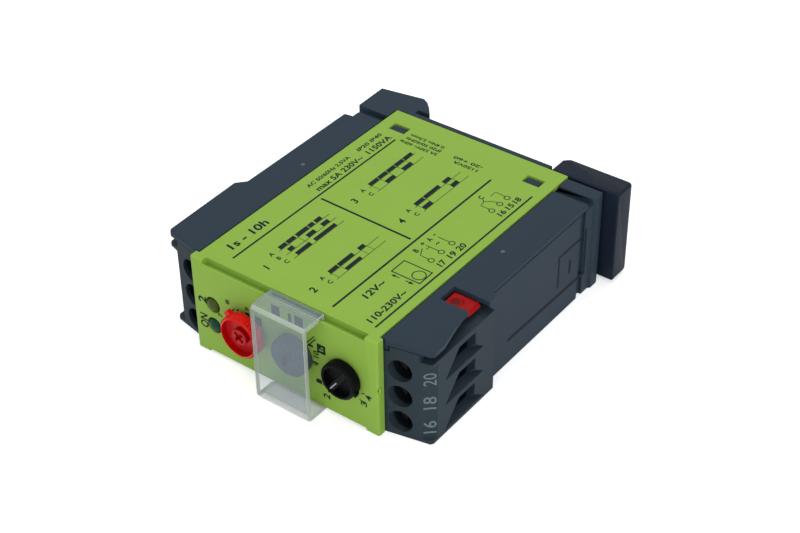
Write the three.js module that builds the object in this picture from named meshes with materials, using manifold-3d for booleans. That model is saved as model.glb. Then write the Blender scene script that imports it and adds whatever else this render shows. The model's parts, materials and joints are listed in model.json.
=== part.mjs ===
// DIN rail timer module, 22.5 mm wide, lying on its wide side.
// X runs along the mounted height, Y from the front face to the rail, Z across the module's width.
// All sizes are in millimetres.
import * as THREE from 'three';
import { mergeVertices } from 'three/addons/utils/BufferGeometryUtils.js';
import Module from 'manifold-3d';

const wasm = await Module();
wasm.setup();

// Module and fits
const moduleWidth = 22.5;
const frontHeight = 45;
const bodyHeight = 60;
const rearWallY = 65;
const fitGap = 0.3;
const cutOverrun = 3;
const midZ = moduleWidth / 2;
const faceHalf = frontHeight / 2;
const bodyHalf = bodyHeight / 2;

// Green front cover: front panel and the long plate over the wide side
const panelThickness = 2;
const panelEdgeRound = 0.5;
const plateThickness = 1;
const plateSetback = 0.85;
const grooveEndMargin = 2.95;
const lipThickness = 0.35;
const lipDrop = 0.8;
const grooveWidth = 1.25;
const grooveDepth = 1.8;
const windowSideMargin = 2.75;
const windowWidth = 4.05;
const windowRearMargin = 4.3;
const windowLength = 2.5;

// Clear cover hooked in the grooves of the front panel
const coverCentreX = 3.25;
const coverLength = 12.7;
const coverReach = 4.9;
const coverWall = 1;
const coverCornerRadius = 1.2;

// Knobs, in order along the front: time value, range and function
const shaftRadius = 2;
const shaftLength = 8;
const timeKnobX = -8.2;
const timeKnobRadius = 4.7;
const timeKnobFront = 3.6;
const timeKnobStandoff = 1.2;
const timeKnobCupRadius = 4;
const timeKnobCupDepth = 1.6;
const timeKnobBossRadius = 1.8;
const timeKnobBossHeight = 1.2;
const crossSlotLength = 2.6;
const crossSlotWidth = 0.7;
const crossSlotDepth = 0.9;
const knurlCount = 36;
const knurlDepth = 0.25;
const knobBevel = 0.35;
const pointerTabWidth = 1.4;
const pointerTabReach = 0.8;
const pointerTabThickness = 1;
const pointerAngle = 136;
const rangeKnobX = 3.2;
const rangeKnobRadius = 4.2;
const rangeKnobFront = 2.6;
const rangeSlotLength = 5;
const rangeSlotWidth = 1.1;
const rangeSlotDepth = 0.9;
const rangeAngle = 55;
const functionKnobEndMargin = 7.6;
const functionKnobRadius = 3.95;
const functionKnobFront = 2.5;
const functionCupRadius = 3.2;
const functionCupDepth = 1.3;
const functionAngle = 55;
const functionTabAngle = -18;
const functionTabWidth = 1;
const functionTabReach = 0.5;
const gripBarWidth = 1.3;

// Indicator lamps
const lampEndMargin = 5;
const lampUpperZ = 12.7;
const lampLowerZ = 7.65;
const lampRadius = 1.5;
const lampProud = 0.6;
const lampDomeEnd = 0.4;
const lampFlangeRadius = 1.9;
const lampFlangeY = 4.1;
const lampFlangeThickness = 0.9;
const lampLeadSide = 0.5;
const lampLeadSpacing = 1.27;

// Housing tub
const wall = 1.3;
const floorThickness = 1.2;
const shoulderEndY = 24;
const roofThickness = 1.2;
const ledgeRightLength = 3.9;
const ledgeLeftLength = 3;
const ledgeOverhang = 0.5;
const ledgeSetback = 0.6;
const ledgeCornerRadius = 1.5;
const studDrop = 0.2;
const sideNotchSetback = 8.1;
const sideNotchLength = 1.7;
const sideNotchDepth = 0.7;
const hookNotchFrontSetback = 7.6;
const hookNotchRearSetback = 4.25;
const hookNotchDepth = 1.9;
const hookNotchSlope = 0.3;

// Rail hook and the 35 mm rail that it takes
const railWidth = 35;
const railSlit = 1.4;
const railPlay = 0.5;
const hookLip = 2.9;
const railStandoff = 1.5;
const stripSetback = 1;
const hookToeSetback = 0.2;
const hookHeelRise = 4;
const hookPeakRise = 5.8;
const hookPeakReach = 1.8;
const hookNoseRise = 5;
const hookNoseReach = 0.3;
const hookBevelRise = 3.4;
const hookBevelReach = 1.3;

// Side lid
const lidSetback = 0.1;
const lidThickness = 1.2;
const traySide = 1.2;
const trayEndSetback = 7;
const lidOverhang = 0.4;
const lidNoseSetback = 0.3;
const lidReachY = 4.4;
const lidCurveY = 7.2;
const lidCurveSetback = 0.6;
const lidCurveMidLength = 6.2;
const lidWaistProud = 0.3;
const lidWaistLength = 1.9;
const lidLead = 0.25;
const lidLeftNoseSetback = 0.9;
const lidLeftSetback = 0.35;
const lidHeelOverhang = 0.1;
const lidHeelSetback = 0.3;
const lidHeelSlope = 2;
const lidSideProud = 0.1;
const lidRightEndSetback = 6;
const lidLeftEndSetback = 5.3;

// Terminal blocks at both ends of the front
const shoulderY = 2.2;
const shoulderSlopeShare = 0.207;
const blockProjection = 9.3;
const blockTuck = 0.5;
const bevelLength = 2.3;
const bevelEndY = 5.8;
const lidSlotHeight = 1.9;
const browDepth = 1.5;
const browEndMargin = 0.2;
const flangeThickness = 0.9;
const flangeTipSetback = 0.4;
const flangeTipRound = 0.6;
const terminalRows = 3;
const blockBottomRoom = 0.5;
const blockTopRoom = 0.5;
const screwHoleWeb = 1.2;
const screwHoleEndY = 7.4;
const neckThickness = 0.6;
const mouthWeb = 1.1;
const mouthDrop = 0.25;
const mouthLowerFrontY = 8.2;
const mouthLowerRearMargin = 3.5;
const mouthUpperFrontY = 12.6;
const mouthHeelDrop = 0.45;
const mouthDepth = 2;
const cellInnerWall = 0.85;
const cellOuterWall = 1.85;
const cellWeb = 1.3;

// Clamp in each terminal: screw, rising cage and the bar that it clamps against
const screwHeadPlay = 0.45;
const screwHeadThickness = 1.5;
const screwSlotWidth = 0.7;
const screwSlotDepth = 1;
const screwShankSetback = 0.9;
const cageSideWall = 0.8;
const cageFrontWall = 1.2;
const cageRearWall = 0.8;
const cageTravel = 2.4;
const wireRoom = 4.7;
const barThickness = 0.8;
const barLegWidth = 1.2;
const barLegSpacing = 2;
const barLegMargin = 3.1;

// Red locking catch above the right terminal block
const catchPocketMargin = 0.75;
const catchPocketSetback = 2;
const catchPocketLength = 4.5;
const catchFlangeSetback = 1;
const catchTopSetback = 1;
const catchFlangeThickness = 1.3;
const catchFlangeReach = 1;
const catchBevel = 0.5;
const catchLipThickness = 0.9;
const catchDimpleMargin = 1.9;
const catchDimpleRadius = 1.6;
const catchDimpleDepth = 0.5;

// Sprung rail latch
const latchProud = 3.4;
const latchBottomZ = 0.7;
const latchTopSetback = 0.15;
const latchRearRise = 4.9;
const latchEndBevel = 1.4;
const latchEndRadius = 0.4;
const latchEdgeRadius = 1.1;
const latchNoseBevel = 1.7;
const latchLip = 2.3;
const latchLipHeight = 12.5;
const latchLipThickness = 2.3;
const latchTravel = 4;
const latchNeckLength = 3;
const latchHeadMargin = 4;
const latchHeadOverlap = 2;
const latchHeadThickness = 2.2;
const latchPullDepth = 2.2;
const latchPullWidth = 2.4;
const latchPullLength = 8;
const springTurns = 5;
const springRadius = 0.95;
const springWireRadius = 0.25;
const springStepsPerTurn = 8;
const springSides = 5;

// Boards
const mainBoardThickness = 1;
const mainBoardMargin = 0.8;
const mainBoardWingMargin = 0.5;
const mainBoardFrontY = 11;
const mainBoardRearMargin = 2.5;
const frontBoardY = 9.5;
const frontBoardThickness = 1.2;
const frontBoardBottomZ = 3;
const frontBoardHeadroom = 0.8;
const headerLength = 12;
const headerDepth = 2.5;
const headerHeight = 2.5;
const controlBodySide = 8.6;
const boardBottomZ = floorThickness + fitGap;
const boardTopZ = boardBottomZ + mainBoardThickness;
const boardSeatZ = boardTopZ + fitGap;

// Relay on the main board
const relayX = 9;
const relayRearMargin = 3.3;
const relayLength = 25;
const relayHeadroom = 1.2;
const relayTallness = 3;
const relayBaseThickness = 1.5;
const relayCaseWall = 0.7;
const coreRadius = 1.5;
const coreLength = 13.4;
const yokeThickness = 1.2;
const yokeSideRoom = 2;
const bobbinFlange = 1;
const bobbinTubeWall = 0.7;
const bobbinRoom = 0.6;
const windingSetback = 0.3;
const armatureGap = 1.5;
const armatureThickness = 1.2;
const armatureSideRoom = 2.3;
const armatureFootRoom = 2.9;
const bladeThickness = 0.4;
const bladeWidth = 4;
const bladeHeight = 9;
const buttonRadius = 0.8;
const buttonHeight = 1.5;
const buttonReach = 0.5;
const contactThickness = 0.6;
const openContactHeight = 1.8;
const restContactHeight = 3.4;
const contactStroke = 1.4;

// Power parts on the main board
const filmCapacitorX = -14;
const filmCapacitorRearMargin = 25.8;
const filmCapacitorLength = 12;
const filmCapacitorWidth = 5.5;
const filmCapacitorHeight = 10;
const electrolyticX = -14;
const electrolyticRearMargin = 13.3;
const electrolyticRadius = 4;
const electrolyticHeight = 12;
const varistorX = -23.5;
const varistorRearMargin = 11.8;
const varistorRadius = 4.5;
const varistorThickness = 3.4;
const chokeX = 22.5;
const chokeRearMargin = 11.8;
const chokeRadius = 4;
const chokeWaistRadius = 2.6;
const chokeFlange = 1.2;
const chokeHeight = 8;
const chipX = -2.5;
const chipY = 20;
const chipLength = 9;
const chipWidth = 6;
const chipThickness = 1.7;

// Facets of round forms
const knobSegments = 48;
const roundSegments = 24;
const smallSegments = 16;
const cornerSteps = 4;
const edgeRoundShare = 0.3;
const dimpleFloorShare = 0.6;

const green = 0x92be4a;
const housingGrey = 0x33404c;
const blockGrey = 0x3a4653;
const black = 0x1c242e;
const red = 0xcd1914;
const steel = 0xb9bcc0;
const brass = 0xc9a55a;
const copper = 0xb4622d;
const boardGreen = 0x2f6b3c;

const timer = new THREE.Group();
timer.name = 'din_rail_timer';

// A closed geometry becomes a solid that can be joined and cut.
function toSolid(geometry) {
  const bare = geometry.clone();
  bare.deleteAttribute('normal');
  bare.deleteAttribute('uv');
  const merged = mergeVertices(bare);
  const index = merged.index.array;
  const kept = [];
  for (let i = 0; i < index.length; i += 3) {
    const [a, b, c] = [index[i], index[i + 1], index[i + 2]];
    if (a !== b && b !== c && c !== a) kept.push(a, b, c);
  }
  return new wasm.Manifold(new wasm.Mesh({
    numProp: 3,
    vertProperties: new Float32Array(merged.attributes.position.array),
    triVerts: new Uint32Array(kept),
  }));
}

function toGeometry(solid) {
  const mesh = solid.getMesh();
  const geometry = new THREE.BufferGeometry();
  geometry.setAttribute('position', new THREE.BufferAttribute(new Float32Array(mesh.vertProperties), 3));
  geometry.setIndex(new THREE.BufferAttribute(new Uint32Array(mesh.triVerts), 1));
  return geometry;
}

function shapeOf(points) {
  return new THREE.Shape(points.map(([u, v]) => new THREE.Vector2(u, v)));
}

// Outline in X and Y, drawn out along Z.
function prismZ(points, z0, z1) {
  const geometry = new THREE.ExtrudeGeometry(shapeOf(points), { depth: z1 - z0, bevelEnabled: false });
  geometry.translate(0, 0, z0);
  return toSolid(geometry);
}

// Outline in Y and Z, drawn out along X.
function prismX(points, x0, x1) {
  const geometry = new THREE.ExtrudeGeometry(shapeOf(points), { depth: x1 - x0, bevelEnabled: false });
  const turn = new THREE.Matrix4().makeBasis(
    new THREE.Vector3(0, 1, 0), new THREE.Vector3(0, 0, 1), new THREE.Vector3(1, 0, 0));
  geometry.applyMatrix4(turn);
  geometry.translate(x0, 0, 0);
  return toSolid(geometry);
}

// Outline in X and Z, drawn out along Y.
function prismY(points, y0, y1) {
  const geometry = new THREE.ExtrudeGeometry(shapeOf(points), { depth: y1 - y0, bevelEnabled: false });
  const turn = new THREE.Matrix4().makeBasis(
    new THREE.Vector3(1, 0, 0), new THREE.Vector3(0, 0, 1), new THREE.Vector3(0, -1, 0));
  geometry.applyMatrix4(turn);
  geometry.translate(0, y1, 0);
  return toSolid(geometry);
}

function block(x0, x1, y0, y1, z0, z1) {
  const geometry = new THREE.BoxGeometry(x1 - x0, y1 - y0, z1 - z0);
  geometry.translate((x0 + x1) / 2, (y0 + y1) / 2, (z0 + z1) / 2);
  return toSolid(geometry);
}

// Profile of [radius, y] turned about a line along Y through x and z.
function turnedY(profile, x, z, segments) {
  const points = profile.map(([r, y]) => new THREE.Vector2(r, y));
  const geometry = new THREE.LatheGeometry(points, segments);
  geometry.translate(x, 0, z);
  return toSolid(geometry);
}

function rodY(radius, y0, y1, x, z, segments) {
  return turnedY([[0, y0], [radius, y0], [radius, y1], [0, y1]], x, z, segments);
}

// Profile of [radius, z] turned about an upright line through x and y.
function turnedZ(profile, x, y, segments) {
  const points = profile.map(([r, z]) => new THREE.Vector2(r, z));
  const geometry = new THREE.LatheGeometry(points, segments);
  geometry.rotateX(Math.PI / 2);
  geometry.translate(x, y, 0);
  return toSolid(geometry);
}

// Straight loft through rings that are convex and have the same number of points.
function loft(rings) {
  const count = rings[0].length;
  const last = (rings.length - 1) * count;
  const index = [];
  for (let ring = 0; ring < rings.length - 1; ring += 1) {
    for (let i = 0; i < count; i += 1) {
      const a = ring * count + i;
      const b = ring * count + ((i + 1) % count);
      index.push(a, b, b + count, a, b + count, a + count);
    }
  }
  for (let i = 1; i < count - 1; i += 1) {
    index.push(0, i + 1, i);
    index.push(last, last + i, last + i + 1);
  }
  const points = rings.flat().map(([x, y, z]) => new THREE.Vector3(x, y, z));
  let volume = 0;
  for (let i = 0; i < index.length; i += 3) {
    const side = points[index[i + 1]].clone().cross(points[index[i + 2]]);
    volume += points[index[i]].dot(side);
  }
  if (volume < 0) index.reverse();
  const geometry = new THREE.BufferGeometry().setFromPoints(points);
  geometry.setIndex(index);
  return toSolid(geometry);
}

// The same outline or block on the right (side 1) or mirrored to the left (side -1).
function sided(side, points) {
  return points.map(([x, other]) => [side * x, other]);
}

function sidedBlock(side, x0, x1, y0, y1, z0, z1) {
  return block(Math.min(side * x0, side * x1), Math.max(side * x0, side * x1), y0, y1, z0, z1);
}

function cutAll(solid, tools) {
  return tools.reduce((rest, tool) => rest.subtract(tool), solid);
}

function joinAll(solids) {
  return solids.reduce((sum, next) => sum.add(next));
}

function addPiece(name, solid, color, roughness, metalness) {
  const material = new THREE.MeshStandardMaterial({ color, roughness, metalness });
  const mesh = new THREE.Mesh(toGeometry(solid), material);
  mesh.name = name;
  timer.add(mesh);
}

// Places that several pieces share
const grooveHalf = faceHalf - grooveEndMargin;
const plateHalf = faceHalf - plateSetback;
const plateUnderZ = moduleWidth - plateThickness;
const windowOuterX = plateHalf - windowSideMargin;
const windowInnerX = windowOuterX - windowWidth;
const windowRearY = rearWallY - windowRearMargin;
const windowFrontY = windowRearY - windowLength;
const recessHalf = plateHalf + fitGap;
const recessFloorZ = plateUnderZ - fitGap;
const wallTopZ = recessFloorZ - fitGap;
const lidFaceZ = moduleWidth - lidSetback;
const lidUnderZ = lidFaceZ - lidThickness;
const trayHalf = recessHalf + traySide;
const trayBottomZ = recessFloorZ - lidThickness;
const trayEndY = rearWallY - trayEndSetback;
const tubFrontY = panelThickness + fitGap;
const shoulderWallY = shoulderEndY + fitGap;
const roofFrontY = trayEndY + fitGap;
const functionKnobX = faceHalf - functionKnobEndMargin;
const lampX = lampEndMargin - faceHalf;
const controlPlaces = [timeKnobX, rangeKnobX, functionKnobX];
const lampPlaces = [lampUpperZ, lampLowerZ];

// Rear of the housing, from the rail seat out to the hook and the latch
const ledgeFrontRightY = rearWallY - ledgeRightLength;
const ledgeFrontLeftY = rearWallY - ledgeLeftLength;
const hookNotchFrontY = rearWallY - hookNotchFrontSetback;
const hookNotchRearY = rearWallY - hookNotchRearSetback;
const rearSeatY = rearWallY + railStandoff;
const slitX = railWidth / 2 + railPlay;
const lipY = rearSeatY + railSlit;
const hookPeakY = rearSeatY + hookPeakRise;
const hookHeelY = rearSeatY + hookHeelRise;
const hookBevelY = rearSeatY + hookBevelRise;
const stripEndX = slitX - stripSetback;
const latchStartX = stripEndX + fitGap;
const latchEndX = bodyHalf + latchProud;
const latchHeadHeight = moduleWidth - 2 * latchHeadMargin;
const latchNeckHeight = latchHeadHeight - 2 * latchHeadOverlap;

// Terminal blocks and the lid's rim above them
const blockInnerX = faceHalf - blockTuck;
const spineHalf = blockInnerX - fitGap;
const terminalReach = faceHalf + blockProjection;
const bevelStartX = terminalReach - bevelLength;
const mouthInnerX = terminalReach - mouthDepth;
const blockTopZ = lidUnderZ - lidSlotHeight;
const terminalSpacing = (blockTopZ - blockBottomRoom - blockTopRoom) / terminalRows;
const lowestTerminalZ = blockBottomRoom + terminalSpacing / 2;
const terminalHeights = [];
for (let row = 0; row < terminalRows; row += 1) terminalHeights.push(lowestTerminalZ + row * terminalSpacing);
const lidHeelX = terminalReach + lidHeelOverhang;
const catchPocketX = trayHalf + catchPocketMargin;
const catchPocketRearY = shoulderEndY - catchPocketSetback;
const catchPocketFrontY = catchPocketRearY - catchPocketLength;

// Clamp, from the screw hole inwards
const screwHoleRadius = (terminalSpacing - screwHoleWeb) / 2;
const screwHeadRadius = screwHoleRadius - screwHeadPlay;
const cageWidth = terminalSpacing - cellWeb - 2 * fitGap;
const screwShankRadius = cageWidth / 2 - screwShankSetback;
const barWidth = cageWidth - 2 * (cageSideWall + fitGap);
const cellFrontY = screwHoleEndY + neckThickness;
const cageY = cellFrontY + fitGap + cageTravel;
const barFrontY = cageY + cageFrontWall + fitGap;
const barRearY = barFrontY + barThickness;
const cageEndY = barRearY + wireRoom + cageRearWall;
const cellRearY = cageEndY + fitGap;
const cageStartX = blockInnerX + cellInnerWall + fitGap;
const cageEndX = mouthInnerX - cellOuterWall - fitGap;
const screwX = (cageStartX + cageEndX) / 2;
const cellHalf = cageWidth / 2 + fitGap;

// Points on a quarter circle about (u, v), from one angle in degrees over the next 90
function quarter(u, v, radius, startAngle) {
  const points = [];
  for (let step = 0; step <= cornerSteps; step += 1) {
    const angle = THREE.MathUtils.degToRad(startAngle + 90 * (step / cornerSteps));
    points.push([u + radius * Math.cos(angle), v + radius * Math.sin(angle)]);
  }
  return points;
}

// Terminal face that falls back from the front towards both ends
function shoulderAt(x) {
  return shoulderY + (x - faceHalf) * shoulderSlopeShare;
}

// Holes for the three shafts and the two lamps, through panel or tub wall
function frontHoles(y0, y1) {
  const shafts = controlPlaces.map((x) => rodY(shaftRadius + fitGap, y0, y1, x, midZ, roundSegments));
  const lenses = lampPlaces.map((z) => rodY(lampRadius + fitGap, y0, y1, lampX, z, roundSegments));
  return [...shafts, ...lenses];
}

// Green L-shaped cover: panel with hook grooves at both edges, plate with two snap windows
function frontCover() {
  const ring = (inset, y) => [
    [-faceHalf + inset, y, inset], [faceHalf - inset, y, inset],
    [faceHalf - inset, y, moduleWidth - inset], [-faceHalf + inset, y, moduleWidth - inset]];
  const soft = panelEdgeRound * edgeRoundShare;
  const panel = loft([ring(panelEdgeRound, 0), ring(soft, soft), ring(0, panelEdgeRound), ring(0, panelThickness)]);
  const plate = block(-plateHalf, plateHalf, panelThickness / 2, rearWallY, plateUnderZ, moduleWidth);
  const above = moduleWidth + cutOverrun;
  const grooveEndY = lipThickness + grooveWidth;
  const cuts = [
    block(-grooveHalf, grooveHalf, lipThickness, grooveEndY, moduleWidth - grooveDepth, above),
    block(-grooveHalf, grooveHalf, lipThickness, grooveEndY, -cutOverrun, grooveDepth),
    block(-grooveHalf, grooveHalf, -cutOverrun, grooveEndY, moduleWidth - lipDrop, above),
    block(-grooveHalf, grooveHalf, -cutOverrun, grooveEndY, -cutOverrun, lipDrop),
    sidedBlock(1, windowInnerX, windowOuterX, windowFrontY, windowRearY, plateUnderZ - cutOverrun, above),
    sidedBlock(-1, windowInnerX, windowOuterX, windowFrontY, windowRearY, plateUnderZ - cutOverrun, above),
  ];
  return cutAll(panel.add(plate), [...cuts, ...frontHoles(-cutOverrun, panelThickness + cutOverrun)]);
}

// Clear cover: a channel open at both ends, with a hook along each leg
function clearCover() {
  const hookStartY = lipThickness + fitGap;
  const hookEndY = lipThickness + grooveWidth - fitGap;
  const tip = midZ - lipDrop + fitGap;
  const inner = midZ - coverWall;
  const upper = [];
  for (let step = 0; step <= cornerSteps; step += 1) {
    const angle = Math.PI - (Math.PI / 2) * (step / cornerSteps);
    upper.push([
      -coverReach + coverCornerRadius * (1 + Math.cos(angle)),
      midZ - coverCornerRadius * (1 - Math.sin(angle))]);
  }
  upper.push([hookEndY, midZ], [hookEndY, midZ - grooveDepth + fitGap], [hookStartY, midZ - grooveDepth + fitGap]);
  upper.push([hookStartY, tip], [-fitGap, tip], [-fitGap, inner], [-coverReach + coverWall, inner]);
  const lower = upper.map(([y, height]) => [y, -height]).reverse();
  const profile = [...upper, ...lower].map(([y, height]) => [y, midZ + height]);
  return prismX(profile, coverCentreX - coverLength / 2, coverCentreX + coverLength / 2);
}

// Ring of pointed teeth round a knob's axis
function toothedOutline(x, radius) {
  const points = [];
  for (let i = 0; i < knurlCount * 2; i += 1) {
    const angle = (Math.PI * i) / knurlCount;
    const reach = i % 2 === 0 ? radius : radius - knurlDepth;
    points.push([x + reach * Math.cos(angle), midZ + reach * Math.sin(angle)]);
  }
  return points;
}

function knobBody(x, radius, front, rear, sides) {
  return turnedY([
    [0, -front], [radius - knobBevel, -front], [radius, -front + knobBevel],
    [radius, -rear], [shaftRadius, -rear], [shaftRadius, shaftLength], [0, shaftLength]], x, midZ, sides);
}

// Flat bar that points from a knob's axis at an angle, from one reach to another
function radialBar(x, angleDegrees, innerReach, outerReach, width, y0, y1) {
  const angle = THREE.MathUtils.degToRad(angleDegrees);
  const along = (reach, across) => [
    x + reach * Math.cos(angle) - across * Math.sin(angle),
    midZ + reach * Math.sin(angle) + across * Math.cos(angle)];
  return prismY([
    along(innerReach, -width / 2), along(outerReach, -width / 2),
    along(outerReach, width / 2), along(innerReach, width / 2)], y0, y1);
}

// Knurled time knob: a deep cup, a boss with a cross slot on its floor and a pointer at its foot
function timeKnob() {
  const body = knobBody(timeKnobX, timeKnobRadius - knurlDepth, timeKnobFront, timeKnobStandoff, knobSegments);
  const grip = prismY(
    toothedOutline(timeKnobX, timeKnobRadius), -timeKnobFront + knobBevel, -timeKnobStandoff);
  const tab = radialBar(
    timeKnobX, pointerAngle, shaftRadius, timeKnobRadius + pointerTabReach, pointerTabWidth,
    -timeKnobStandoff - pointerTabThickness, -timeKnobStandoff);
  const floorY = -timeKnobFront + timeKnobCupDepth;
  const bossY = floorY - timeKnobBossHeight;
  const cup = rodY(timeKnobCupRadius, -timeKnobFront - cutOverrun, floorY, timeKnobX, midZ, knobSegments);
  const boss = rodY(timeKnobBossRadius, bossY, floorY + knobBevel, timeKnobX, midZ, smallSegments);
  const long = crossSlotLength / 2;
  const cross = [pointerAngle, pointerAngle + 90].map((angle) => radialBar(
    timeKnobX, angle, -long, long, crossSlotWidth, bossY - cutOverrun, bossY + crossSlotDepth));
  return cutAll(joinAll([body, grip, tab]).subtract(cup).add(boss), cross);
}

// Low range knob with a plain slot, under the clear cover
function rangeKnob() {
  const body = knobBody(rangeKnobX, rangeKnobRadius, rangeKnobFront, fitGap, knobSegments);
  const long = rangeSlotLength / 2;
  const slot = radialBar(
    rangeKnobX, rangeAngle, -long, long, rangeSlotWidth, -rangeKnobFront - cutOverrun,
    -rangeKnobFront + rangeSlotDepth);
  return body.subtract(slot);
}

// Function knob: a cup with a grip bar standing across its floor and a small tab on its rim
function functionKnob() {
  const body = knobBody(functionKnobX, functionKnobRadius, functionKnobFront, fitGap, knobSegments);
  const floorY = -functionKnobFront + functionCupDepth;
  const cup = rodY(
    functionCupRadius, -functionKnobFront - cutOverrun, floorY, functionKnobX, midZ, knobSegments);
  const bar = radialBar(
    functionKnobX, functionAngle, -functionCupRadius, functionCupRadius, gripBarWidth,
    -functionKnobFront + knobBevel, floorY + knobBevel);
  const tab = radialBar(
    functionKnobX, functionTabAngle, functionCupRadius + knobBevel, functionKnobRadius + functionTabReach,
    functionTabWidth, -functionKnobFront + knobBevel, floorY);
  return joinAll([body.subtract(cup), bar, tab]);
}

// Indicator lamp: domed lens, flange behind the tub wall and two leads to the front board
function lamp(z) {
  const profile = [];
  for (let step = 0; step <= cornerSteps; step += 1) {
    const angle = (Math.PI / 2) * (step / cornerSteps);
    profile.push([lampRadius * Math.sin(angle), lampDomeEnd - (lampDomeEnd + lampProud) * Math.cos(angle)]);
  }
  const backY = lampFlangeY + lampFlangeThickness;
  profile.push([lampRadius, lampFlangeY], [lampFlangeRadius, lampFlangeY], [lampFlangeRadius, backY], [0, backY]);
  const lens = turnedY(profile, lampX, z, smallSegments);
  const leads = [-1, 1].map((side) => {
    const x = lampX + side * lampLeadSpacing / 2;
    const half = lampLeadSide / 2;
    return block(x - half, x + half, lampFlangeY, frontBoardY - fitGap, z - half, z + half);
  });
  return joinAll([lens, ...leads]);
}

// Outer outline of the tub, with the rail hook at its left rear corner
function tubOutline() {
  const notchX = -bodyHalf + hookNotchDepth;
  const ledgeX = bodyHalf + ledgeOverhang;
  const ledgeCorner = quarter(ledgeX - ledgeCornerRadius, rearWallY - ledgeCornerRadius, ledgeCornerRadius, 0);
  return [
    [-spineHalf, tubFrontY], [spineHalf, tubFrontY], [spineHalf, shoulderWallY], [bodyHalf, shoulderWallY],
    [bodyHalf, ledgeFrontRightY], [ledgeX, ledgeFrontRightY + ledgeOverhang], ...ledgeCorner,
    [stripEndX, rearWallY], [stripEndX, rearSeatY], [-slitX, rearSeatY], [-slitX, lipY],
    [-slitX + hookLip, lipY], [-slitX + hookBevelReach, hookBevelY],
    [-slitX - hookNoseReach, rearSeatY + hookNoseRise], [-slitX - hookPeakReach, hookPeakY],
    [-bodyHalf, hookHeelY], [-bodyHalf + hookToeSetback, ledgeFrontLeftY], [notchX, hookNotchRearY],
    [notchX, hookNotchFrontY + hookNotchSlope], [-bodyHalf, hookNotchFrontY],
    [-bodyHalf, shoulderWallY], [-spineHalf, shoulderWallY]];
}

// Open space for the boards, from the front wall to the roof at the rear
function tubCavity() {
  const spine = spineHalf - wall;
  const side = bodyHalf - wall;
  const shoulder = shoulderWallY + wall;
  const notchX = -side + hookNotchDepth;
  return [
    [-spine, tubFrontY + wall], [spine, tubFrontY + wall], [spine, shoulder], [side, shoulder],
    [side, roofFrontY], [notchX, roofFrontY], [notchX, hookNotchFrontY - wall],
    [-side, hookNotchFrontY - wall], [-side, shoulder], [-spine, shoulder]];
}

// Space under the roof, reaching into the hook
function rearCavity() {
  const side = bodyHalf - wall;
  const notchX = -side + hookNotchDepth;
  return [
    [notchX, roofFrontY - wall], [side, roofFrontY - wall], [side, rearWallY - wall],
    [stripEndX - wall, rearWallY - wall], [stripEndX - wall, rearSeatY - wall],
    [-slitX - wall, rearSeatY - wall], [-slitX - wall, hookBevelY],
    [-side, hookHeelY - wall], [-side, ledgeFrontLeftY + wall], [notchX, hookNotchRearY + wall / 2]];
}

// Housing tub: floor, walls, roof over the latch, rail hook and seat, snap studs
function housingBase() {
  const far = bodyHeight;
  const topZ = moduleWidth + cutOverrun;
  const trayRoom = trayHalf + fitGap;
  const slotHalf = latchNeckHeight / 2 + fitGap;
  const slotEndX = latchStartX + fitGap + latchNeckLength + latchTravel + fitGap;
  const barSlot = (side) => sidedBlock(
    side, spineHalf - wall - cutOverrun / 2, spineHalf + cutOverrun / 2, barFrontY - fitGap, barRearY + fitGap,
    terminalHeights[0] - barWidth / 2 - fitGap, terminalHeights[terminalRows - 1] + barWidth / 2 + fitGap);
  const notchX = bodyHalf - sideNotchDepth;
  const sideNotchY = rearWallY - sideNotchSetback;
  const ledgeRearY = rearWallY - ledgeSetback;
  const cuts = [
    block(0, far, -cutOverrun, ledgeFrontRightY, wallTopZ, topZ),
    block(-far, 0, -cutOverrun, ledgeFrontLeftY, wallTopZ, topZ),
    prismZ(tubCavity(), floorThickness, topZ),
    prismZ(rearCavity(), floorThickness, wallTopZ - roofThickness),
    block(-recessHalf, recessHalf, roofFrontY - cutOverrun, rearWallY + fitGap, recessFloorZ, topZ),
    block(-trayRoom, trayRoom, -cutOverrun, roofFrontY, trayBottomZ - fitGap, topZ),
    block(latchStartX, slotEndX, rearWallY - wall * 2, rearWallY + cutOverrun, midZ - slotHalf, midZ + slotHalf),
    block(notchX, far, sideNotchY, sideNotchY + sideNotchLength, -cutOverrun, topZ),
    block(recessHalf - fitGap, far, ledgeRearY, rearWallY + cutOverrun, recessFloorZ, topZ),
    barSlot(1), barSlot(-1),
    ...frontHoles(tubFrontY - cutOverrun, tubFrontY + wall + cutOverrun)];
  const stud = (side) => sidedBlock(
    side, windowInnerX + fitGap, windowOuterX - fitGap, windowFrontY + fitGap, windowRearY - fitGap,
    wallTopZ - roofThickness / 2, lidFaceZ - studDrop);
  return joinAll([cutAll(prismZ(tubOutline(), 0, lidFaceZ), cuts), stud(1), stud(-1)]);
}

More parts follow.
